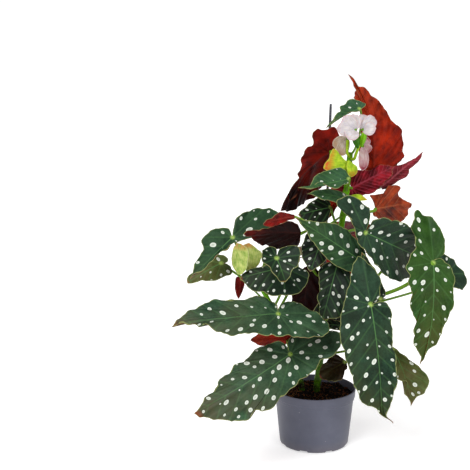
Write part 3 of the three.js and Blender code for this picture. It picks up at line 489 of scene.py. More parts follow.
# %% Soil sizes and the lumpy body
SOIL_TOP = 75
SOIL_RADIUS = 54
SOIL_CROWN = 3
SOIL_SEED = 41
SOIL_COLUMNS = 120
SOIL_RINGS = 44
SOIL_GAP = 0.3
SOIL_WAVE_LENGTHS = (38, 17, 8, 4)
SOIL_WAVE_HEIGHTS = (2.2, 1.6, 1.4, 0.9)


def waves(places, lengths, heights, chance):
    """A smooth random field over places in millimetres, as a sum of slanted waves."""
    total = np.zeros(len(places))
    for length, height in zip(lengths, heights):
        for _ in range(3):
            way = chance.uniform(0, 2 * math.pi)
            phase = chance.uniform(0, 2 * math.pi)
            run = places[:, 0] * math.cos(way) + places[:, 1] * math.sin(way)
            total += height / 3 * np.sin(2 * math.pi * run / length + phase)
    return total


def soil_height(places):
    """The height of the soil's top at places on the pot's plan."""
    chance = np.random.default_rng(SOIL_SEED)
    radius = np.hypot(places[:, 0], places[:, 1])
    crown = SOIL_CROWN * smoothstep(SOIL_RADIUS, 6, radius)
    return SOIL_TOP - 1 + crown + waves(places, SOIL_WAVE_LENGTHS, SOIL_WAVE_HEIGHTS, chance)


def soil_body():
    """The closed body of the soil, from the pot's floor to its uneven top."""
    floor = POT["floor_top"] + SOIL_GAP
    shoulder = POT["height"] - POT["rim_depth"]
    low, middle, edge = (pot_radius(z) - POT["wall"] - SOIL_GAP for z in (floor, 40, shoulder))
    side = np.stack([[0.01, low, middle, edge], [floor, floor, 40, SOIL_TOP - 4]], axis=1)
    top = np.stack([np.linspace(edge - 0.4, 0.01, SOIL_RINGS), np.full(SOIL_RINGS, SOIL_TOP)], axis=1)
    corners, faces = lathe(np.vstack([side, top]), SOIL_COLUMNS)
    on_top = np.arange(len(corners)) >= len(side) * SOIL_COLUMNS
    corners[on_top, 2] = soil_height(corners[on_top])
    return corners, faces


print("soil body height:", round(float(soil_body()[0][:, 2].max()), 1), "mm")

# %% Crumbs, bark chips and coir
LUMP_CORNERS = np.array(
    [
        (0, 0, 1), (0.9, 0, 0.45), (0.28, 0.85, 0.45), (-0.72, 0.53, 0.45), (-0.72, -0.53, 0.45),
        (0.28, -0.85, 0.45), (0.72, 0.53, -0.45), (-0.28, 0.85, -0.45), (-0.9, 0, -0.45),
        (-0.28, -0.85, -0.45), (0.72, -0.53, -0.45), (0, 0, -1),
    ]
)
LUMP_FACES = [
    (0, 1, 2), (0, 2, 3), (0, 3, 4), (0, 4, 5), (0, 5, 1), (1, 6, 2), (2, 6, 7), (2, 7, 3), (3, 7, 8),
    (3, 8, 4), (4, 8, 9), (4, 9, 5), (5, 9, 10), (5, 10, 1), (1, 10, 6), (11, 7, 6), (11, 8, 7), (11, 9, 8),
    (11, 10, 9), (11, 6, 10),
]
PEAT, BARK, COIR = range(3)
LITTER = (
    {"kind": PEAT, "count": 900, "sizes": (0.7, 2.2), "squash": (0.8, 0.7)},
    {"kind": BARK, "count": 150, "sizes": (1.6, 4.2), "squash": (0.6, 0.28)},
)
FIBRE_COUNT = 130
FIBRE_LENGTHS = (5, 14)
FIBRE_RADII = (0.16, 0.34)


def turned(chance):
    """A random turn as a matrix."""
    matrix, _ = np.linalg.qr(chance.normal(size=(3, 3)))
    return matrix if np.linalg.det(matrix) > 0 else -matrix


def lump(place, size, squash, chance):
    """A rough lump, flattened by squash and turned at random."""
    rough = LUMP_CORNERS * chance.uniform(0.7, 1.2, size=(12, 1))
    rough = rough * (1, squash[0], squash[1])
    return rough @ turned(chance).T * size + place


def soil_litter():
    """The loose bits on the soil: peat crumbs, bark chips and coir fibres."""
    chance = np.random.default_rng(SOIL_SEED + 1)
    parts = []
    for bit in LITTER:
        for _ in range(bit["count"]):
            radius = SOIL_RADIUS * math.sqrt(chance.uniform(0, 1))
            way = chance.uniform(0, 2 * math.pi)
            size = chance.uniform(*bit["sizes"]) * chance.uniform(0.6, 1)
            spot = np.array([[radius * math.cos(way), radius * math.sin(way)]])
            place = np.array([*spot[0], soil_height(spot)[0] + size * 0.25])
            corners = lump(place, size, bit["squash"], chance)
            parts.append((corners, LUMP_FACES, bit["kind"], corners[:, :2]))
    for _ in range(FIBRE_COUNT):
        radius = (SOIL_RADIUS - 4) * math.sqrt(chance.uniform(0, 1))
        way, heading = chance.uniform(0, 2 * math.pi, size=2)
        run = np.linspace(0, chance.uniform(*FIBRE_LENGTHS), 7)
        bend = chance.uniform(-0.09, 0.09)
        x = radius * math.cos(way) + run * np.cos(heading + bend * run)
        y = radius * math.sin(way) + run * np.sin(heading + bend * run)
        if np.hypot(x, y).max() >= SOIL_RADIUS:
            continue
        arch = chance.uniform(0, 1.4) * np.sin(run / run[-1] * math.pi)
        z = soil_height(np.stack([x, y], axis=1)) + 0.5 + arch
        radii = np.full(7, chance.uniform(*FIBRE_RADII))
        corners, faces, places = tube(np.stack([x, y, z], axis=1), radii, 5)
        parts.append((corners, faces, COIR, places))
    return parts


def crumbly(name, dark, light, grain_mm, rough):
    """A dry crumbly stuff of two tones. The grain is the size of its finest bits."""
    made, tree = new_material(name)
    place = add(tree, "TexCoord").outputs["Object"]
    patch = noise(tree, place, 9, 6.0, 0.7)
    tone = ramp(tree, patch, 0.36, 0.68)
    body = blend(tree, tone, colour(dark), colour(light))
    grain = noise(tree, place, grain_mm, 4.0)
    bump = add(tree, "Bump", {"Height": grain, "Strength": 0.8, "Distance": 0.5 * MM})
    wet = ramp(tree, patch, low=rough - 0.15, high=rough + 0.05)
    finish_material(
        tree,
        {"Base Color": body, "Roughness": wet, "Normal": bump, "Specular IOR Level": 0.1},
    )
    return made


def build_soil():
    """The soil body with its litter as one piece."""
    corners, faces = soil_body()
    parts = [(corners, faces, PEAT, corners[:, :2]), *soil_litter()]
    corners, faces, kinds, _ = join(parts)
    stuffs = [
        crumbly("damp peat", "050201", "120804", 1.2, 0.95),
        crumbly("pine bark chips", "2a140a", "5e3418", 0.8, 0.8),
        crumbly("coir fibre", "4a2c16", "7a5228", 0.4, 0.85),
    ]
    return build("potting_mix", "potting_soil", "potting_mix", corners, faces, stuffs, kinds)


soil = build_soil()
print("soil faces:", len(soil.data.polygons))

# %% [markdown]
# ## The stake
# A thin dark stick stands in the soil behind the plant, and leans back behind the red leaves. It is a
# tube with a slightly uneven radius and a cut top, because a perfect rod would look like metal.

# %% Stake
STAKE_ENDS = ((10, 32, 20), (23, 64, 493))
STAKE_RADIUS = 2


def coated_stick():
    """Dark coated wood: a satin coat over long fibres, worn pale here and there."""
    made, tree = new_material("dark coated stick")
    place = add(tree, "TexCoord").outputs["Object"]
    long = add(tree, "Mapping", {"Vector": place, "Scale": (900.0, 900.0, 30.0)})
    fibre = add(tree, "TexNoise", {"Vector": long, "Scale": 1.0, "Detail": 4.0})
    tone = ramp(tree, fibre, 0.35, 0.75)
    body = blend(tree, tone, colour("1d1d24"), colour("3a3a44"))
    bump = add(tree, "Bump", {"Height": fibre, "Strength": 0.4, "Distance": 0.2 * MM})
    rough = ramp(tree, fibre, low=0.4, high=0.6)
    finish_material(tree, {"Base Color": body, "Roughness": rough, "Normal": bump})
    return made


def build_stake():
    """The stick as a tube with a slightly uneven radius."""
    line = np.linspace(*np.array(STAKE_ENDS, float), 90)
    run = np.arange(len(line))
    radii = STAKE_RADIUS * (0.95 + 0.04 * np.sin(run * 0.7) + 0.03 * np.sin(run * 0.23 + 1))
    radii[-1] *= 0.86
    corners, faces, _ = tube(line, radii, 16)
    return build("stake_stick", "support_stake", "stake", corners, faces, [coated_stick()])


build_stake()
print("stake length:", round(math.dist(*STAKE_ENDS)), "mm")

# %% [markdown]
# ## The canes
# A begonia's cane is a smooth waxy stem with a ring at each node, where a leaf stalk grows out. It is
# green when young, and older wood near the soil turns brown. The tube follows the same points as the
# solid cane, and its radius swells at every node.

# %% Cane routes and the stem material
CANES = {
    "main": {
        "node": "cane_main",
        "radius": 5,
        "route": [(0, 2, 22), (4, 0, 90), (16, -2, 190), (32, 0, 300), (42, 2, 380), (46, 4, 428)],
        "rings": [96, 116, 130, 158, 186, 215, 246, 262, 292, 318, 338, 350, 372, 396, 412],
    },
    "left": {
        "node": "cane_left",
        "radius": 4,
        "route": [(-16, 2, 22), (-20, 0, 90), (-42, -8, 160), (-72, -24, 225), (-96, -46, 269)],
        "rings": [100, 140, 176, 196, 214, 240, 255],
    },
}


def green_stem(name, young, old, old_below, speck):
    """A waxy stem that is green above and browner below, with short pale pores along it."""
    made, tree = new_material(name)
    place = add(tree, "TexCoord").outputs["Object"]
    height = add(tree, "SeparateXYZ", {"Vector": place})
    mottle = noise(tree, place, 14, 5.0, 0.65)
    age = ramp(tree, height.outputs["Z"], old_below * MM, (old_below - 130) * MM)
    aged = times(tree, age, mottle)
    aged = ramp(tree, aged, 0.1, 0.6)
    body = blend(tree, aged, colour(young), colour(old))
    long = add(tree, "Mapping", {"Vector": place, "Scale": (420.0, 420.0, 150.0)})
    pores = add(tree, "TexVoronoi", {"Vector": long, "Scale": 1.0, "Randomness": 1.0})
    pore = ramp(tree, pores.outputs["Distance"], 0.24, 0.12, high=0.6)
    skin = blend(tree, pore, body, colour(speck))
    rough = ramp(tree, mottle, low=0.3, high=0.5)
    bump = add(tree, "Bump", {"Height": pore, "Strength": 0.3, "Distance": 0.25 * MM})
    finish_material(
        tree,
        {"Base Color": skin, "Roughness": rough, "Normal": bump, "Specular IOR Level": 0.15},
    )
    return made


CANE_POINTS = 260


def cane_line(name):
    """The middle line of a cane, in fine even steps."""
    return even(spline(CANES[name]["route"], 40), CANE_POINTS)


def cane_at(name, height):
    """The point of a cane's middle line at a height."""
    line = cane_line(name)
    return np.array([np.interp(height, line[:, 2], line[:, k]) for k in range(3)])


def build_cane(name, material):
    """A cane as a tube that swells at its nodes and thins towards its top."""
    cane = CANES[name]
    line = cane_line(name)
    heights = line[:, 2]
    swell = sum(np.exp(-(((heights - ring) / 2.6) ** 2)) for ring in cane["rings"])
    taper = np.interp(heights, [heights[0], heights[-1]], [1.04, 0.82])
    radii = cane["radius"] * (taper + 0.14 * np.clip(swell, 0, 1))
    corners, faces, _ = tube(line, radii, 24)
    return build("stem_" + name, cane["node"], "cane", corners, faces, [material])


STEM_GREEN = green_stem("waxy green stem", "5a9600", "140e06", 215, "7c8a48")
for cane_name in CANES:
    build_cane(cane_name, STEM_GREEN)
print("cane rings:", {name: len(cane["rings"]) for name, cane in CANES.items()})

# %% [markdown]
# ## The leaves
# An angel-wing leaf is lopsided: one half is wide and runs back past the stalk into a lobe, the other is
# narrow. Most leaves that show have an outline of their own, and the others share the wing or the heart.
# An outline is a few places in hundredths of the leaf's length, with the stalk at 0 0 and the tip at
# 100 0. Each leaf stretches its outline to its own length, width and lobe.

# %% Leaf outlines
def outline(narrow, wide, span, lobe):
    """An outline from places written as text, in hundredths of the leaf's length."""
    halves = {}
    for name, text in (("narrow", narrow), ("wide", wide)):
        halves[name] = np.array([place.split() for place in text.split(",")], float) / 100
    return {**halves, "span": span, "lobe": lobe}


OUTLINES = {
    "wing": outline(
        "-1.2 -6, 3 -13, 14 -17, 32 -17.5, 58 -15.5, 80 -9, 100 0",
        "100 0, 86 9, 68 17.5, 42 24, 14 26, -12 25, -32 19, -42 10, -40 -1, -28 -9, -15 -11.5, -4.5 -8.5",
        span=0.43,
        lobe=0.42,
    ),
    "hooked": outline(
        "0 -7, 1 -14, 8 -19, 22 -22, 42 -23, 64 -18, 84 -9, 100 0",
        "100 0, 84 13, 66 24, 48 30, 32 27, 18 21, 4 15, -9 8, -14 0, -24 -6.5, -38 -11, -42 -17.5, "
        "-33 -24, -17 -23.5, -6 -18, -2.5 -9",
        span=0.53,
        lobe=0.42,
    ),
    "front": outline(
        "0 -1, -1 -5, -2 -9, 0 -13, 5 -15, 12 -15, 22 -14, 34 -13, 45 -14, 53 -14, 61 -14, 70 -12, 82 -8, "
        "90 -4, 100 0",
        "100 0, 92 2, 87 5, 83 10, 79 17, 69 20, 62 22, 54 24, 44 26, 34 28, 23 29, 14 28, 5 25, -3 22, "
        "-13 17, -23 13, -33 9, -38 6, -41 4, -38 0, -33 -4, -28 -9, -19 -11, -12 -10, -5 -8, -2 -2",
        span=0.441,
        lobe=0.41,
    ),
    "right": outline(
        "-3 -1, -4 -7, -1 -12, 3 -17, 11 -19, 24 -19, 38 -19, 47 -17, 55 -14, 62 -11, 70 -11, 77 -8, "
        "82 -4, 88 0, 100 0",
        "100 0, 90 6, 82 12, 73 16, 66 18, 58 15, 52 19, 46 23, 40 24, 32 22, 26 25, 21 27, 15 25, 9 29, "
        "2 27, -6 23, -14 18, -22 17, -28 20, -34 20, -41 15, -48 15, -51 11, -47 5, -45 -2, -40 -7, "
        "-30 -11, -20 -13, -12 -12, -7 -8, -3 -1",
        span=0.481,
        lobe=0.509,
    ),
    "left_low": outline(
        "0 -4, -2 -9, 2 -14, 8 -18, 16 -20, 24 -21, 33 -20, 40 -19, 48 -19, 56 -17, 63 -16, 68 -14, "
        "69 -11, 74 -10, 82 -8, 88 -5, 94 -2, 100 0",
        "100 0, 96 7, 90 14, 80 21, 77 27, 70 29, 63 31, 57 28, 50 32, 45 34, 36 33, 29 30, 23 29, 16 29, "
        "8 27, 0 27, -8 27, -15 24, -20 22, -28 25, -37 24, -45 21, -50 16, -51 9, -48 2, -39 -5, -28 -9, "
        "-18 -12, -10 -14, -5 -11, -2 -5",
        span=0.547,
        lobe=0.515,
    ),
    "long": outline(
        "0 -5, 1 -13, 6 -16, 13 -19, 22 -21, 31 -19, 40 -19, 48 -21, 57 -21, 66 -18, 75 -15, 84 -11, "
        "90 -8, 100 0",
        "100 0, 92 -1, 86 1, 79 2, 76 7, 72 5, 67 8, 61 13, 55 19, 49 23, 41 21, 28 23, 16 26, 6 29, "
        "-2 29, -10 29, -17 31, -27 31, -38 28, -46 22, -49 16, -46 8, -41 0, -34 -5, -26 -10, -18 -13, "
        "-11 -12, -5 -10, -1 -5",
        span=0.522,
        lobe=0.495,
    ),
    "clasped": outline(
        "-3 -7, -5 -14, 3 -23, 12 -30, 23 -34, 36 -33, 44 -29, 49 -20, 60 -17, 73 -13, 88 -7, 100 0",
        "100 0, 84 7, 66 13, 48 17, 31 18, 15 9, -5 16, -18 22, -38 30, -60 36, -82 35, -91 25, -88 10, "
        "-74 -5, -51 -16, -34 -19, -18 -14, -6 -6",
        span=0.696,
        lobe=0.913,
    ),
    "twisted": outline(
        "1 -4, 11 -6, 22 -4, 35 2, 48 8, 61 5, 74 3, 89 -1, 100 0",
        "100 0, 86 7, 73 8, 56 14, 47 15, 41 26, 27 26, 13 31, -1 28, -17 23, -29 11, -13 2, 0 -4",
        span=0.37,
        lobe=0.286,
    ),
    "tailed": outline(
        "1 -4, 9 -12, 27 -15, 43 -13, 51 -5, 57 5, 66 3, 79 -5, 91 -4, 100 0",
        "100 0, 89 1, 83 -1, 74 8, 64 17, 52 23, 37 27, 23 26, 9 25, 0 18, -4 8, -2 -1",
        span=0.41,
        lobe=0.038,
    ),
    "centre": outline(
        "-2 -3, -2 -12, 6 -19, 18 -20, 28 -22, 39 -22, 51 -19, 61 -16, 70 -12, 81 -6, 90 -2, 100 0",
        "100 0, 89 4, 81 6, 71 11, 62 16, 50 19, 39 21, 27 18, 13 15, -1 10, -6 3, -3 0",
        span=0.428,
        lobe=0.058,
    ),
    "heart": outline(
        "-18 6, -43 13, -60 -5, -51 -37, -25 -54, 8 -56, 30 -42, 54 -39, 75 -30, 96 -17, 100 0",
        "100 0, 89 21, 66 37, 58 59, 40 77, 15 89, -10 89, -31 69, -40 44, -33 21, -16 10",
        span=1.443,
        lobe=0.611,
    ),
    "under_heart": outline(
        "3 -5, 12 -15, 28 -15, 38 -13, 60 -14, 78 -14, 93 -7, 100 0",
        "100 0, 91 18, 81 34, 63 42, 53 53, 37 60, 18 63, -1 68, -19 62, -37 50, -50 31, -50 11, -34 -2, "
        "-17 -9, -5 -6",
        span=0.844,
        lobe=0.51,
    ),
    "inner": outline(
        "-1 -2, 3 -11, 10 -21, 21 -25, 37 -23, 52 -16, 64 -17, 77 -11, 89 -6, 100 0",
        "100 0, 94 8, 88 20, 81 28, 69 33, 52 33, 33 31, 16 25, 5 16, 0 2",
        span=0.581,
        lobe=0.011,
    ),
    "flame": outline(
        "1 -1, 11 -6, 24 -12, 36 -14, 48 -10, 60 -7, 69 -5, 75 -5, 78 -7, 83 -4, 83 -2, 88 -2, 93 -1, "
        "100 0",
        "100 0, 93 1, 88 2, 87 5, 81 7, 76 8, 72 12, 68 14, 63 14, 59 16, 52 18, 47 22, 41 25, 34 26, "
        "28 26, 24 25, 18 27, 15 23, 11 21, 7 17, 1 13, -4 8, -3 2",
        span=0.405,
        lobe=0.037,
    ),
    "hanging": outline(
        "1 -4, 2 -16, 11 -31, 25 -40, 40 -44, 57 -43, 74 -32, 89 -19, 100 0",
        "100 0, 89 -9, 78 -12, 65 -11, 56 -6, 51 4, 41 8, 34 16, 28 21, 20 23, 13 22, 6 27, 0 36, -6 38, "
        "-10 34, -16 30, -24 28, -23 17, -14 5, -4 -1",
        span=0.823,
        lobe=0.248,
    ),
    "folded": outline(
        "2 -3, 21 -9, 37 -11, 51 -14, 58 -11, 60 -1, 69 2, 74 -4, 80 -10, 89 -4, 100 0",
        "100 0, 95 7, 88 14, 86 23, 78 30, 73 37, 65 40, 56 37, 46 30, 36 25, 23 17, 9 9, -3 2",
        span=0.54,
        lobe=0.023,
    ),
    "pleat": outline(
        "-2 -7, -7 -24, -3 -36, 8 -41, 22 -41, 38 -37, 55 -30, 68 -22, 86 -9, 100 0",
        "100 0, 89 4, 74 3, 65 6, 53 9, 42 12, 31 17, 18 19, 7 13, 1 5",
        span=0.593,
        lobe=0.067,
    ),
    "crest": outline(
        "-2 -5, 8 -11, 24 -18, 41 -22, 64 -21, 89 -13, 100 0",
        "100 0, 93 8, 75 9, 62 16, 46 18, 20 12, 1 5",
        span=0.397,
        lobe=0.019,
    ),
    "shaded": outline(
        "3 -6, 18 -29, 37 -44, 55 -44, 74 -34, 88 -19, 100 0",
        "100 0, 86 13, 68 20, 50 27, 29 35, 9 38, -3 28, -5 12",
        span=0.831,
        lobe=0.058,
    ),
    "ruffled": outline(
        "0 -5, 1 -18, 9 -29, 24 -30, 41 -25, 58 -20, 75 -15, 90 -10, 100 0",
        "100 0, 88 13, 67 24, 44 28, 19 28, -1 21, -19 10, -33 -1, -43 -14, -35 -22, -19 -19, -6 -8",
        span=0.591,
        lobe=0.44,
    ),
    "corner": outline(
        "-3 -5, 4 -17, 30 -18, 58 -18, 81 -13, 100 0",
        "100 0, 86 23, 70 41, 51 55, 29 54, 8 40, -5 17, -5 3",
        span=0.731,
        lobe=0.058,
    ),
    "curtain": outline(
        "-2 -2, 7 -14, 25 -22, 48 -26, 71 -27, 90 -19, 99 -9, 100 0",
        "100 0, 93 18, 79 34, 59 43, 37 39, 17 28, 2 15, -3 2",
        span=0.704,
        lobe=0.029,
    ),
    "spear": outline(
        "1 -1, 3 -9, 15 -11, 26 -12, 36 -17, 44 -15, 50 -11, 57 -7, 68 -3, 78 -1, 87 3, 93 1, 100 0",
        "100 0, 90 5, 78 9, 68 9, 60 8, 55 13, 47 14, 36 13, 25 12, 13 9, 5 8, -1 5",
        span=0.315,
        lobe=0.013,
    ),
    "fan": outline(
        "-1 -5, -8 -23, -10 -33, 6 -33, 25 -33, 32 -46, 47 -47, 61 -44, 64 -30, 71 -15, 84 -7, 100 0",
        "100 0, 103 15, 100 27, 102 36, 94 42, 92 54, 85 66, 70 57, 53 46, 31 35, 7 25, -6 10",
        span=1.12,
        lobe=0.093,
    ),
    "lime": outline(
        "-1 -3, 12 -4, 34 1, 53 -1, 74 -9, 100 0",
        "100 0, 96 21, 84 36, 83 53, 75 69, 59 62, 42 51, 24 35, 2 31, -15 18, -8 4",
        span=0.77,
        lobe=0.144,
    ),
    "lime_low": outline(
        "6 -10, 27 -19, 50 -21, 75 -20, 93 -11, 100 0",
        "100 0, 96 18, 79 36, 49 39, 23 21, 5 8",
        span=0.606,
        lobe=0.04,
    ),
    "stipule": outline(
        "3 -7, 22 -24, 50 -31, 83 -33, 101 -17, 100 0",
        "100 0, 80 15, 51 26, 23 24, 2 10",
        span=0.589,
        lobe=0.022,
    ),
    "sheath": outline(
        "0 -11, 10 -33, 31 -48, 57 -50, 76 -35, 92 -15, 100 0",
        "100 0, 94 18, 77 29, 47 26, 22 20, 4 11",
        span=0.802,
        lobe=0.026,
    ),
    "crumpled": outline(
        "-3 -5, 4 -21, 15 -36, 36 -38, 61 -34, 84 -21, 100 0",
        "100 0, 93 20, 77 35, 56 44, 33 42, 12 29, 0 9",
        span=0.816,
        lobe=0.023,
    ),
    "bract": outline(
        "-3 -6, 12 -30, 42 -42, 74 -28, 100 0",
        "100 0, 74 28, 42 42, 12 30, -3 6",
        span=0.84,
        lobe=0.03,
    ),
    "tepal": outline(
        "-4 -5, 14 -28, 46 -46, 82 -36, 100 0",
        "100 0, 82 36, 46 46, 14 28, -4 5",
        span=0.92,
        lobe=0.04,
    ),
}
print("outlines:", ", ".join(OUTLINES))

# %% [markdown]
# Every leaf of the solid model comes back here with the same numbers, in millimetres: where its stalk
# meets the blade, its tip, the way its upper side faces, its width and lobe, which hand the wide half is
# on, the droop of the midrib and the fold of the halves in degrees, and its node on a cane. Some also
# have a midrib that bows to one side or a place that the stalk passes. The thin blade then takes the
# place of the solid plate that it stands in for.

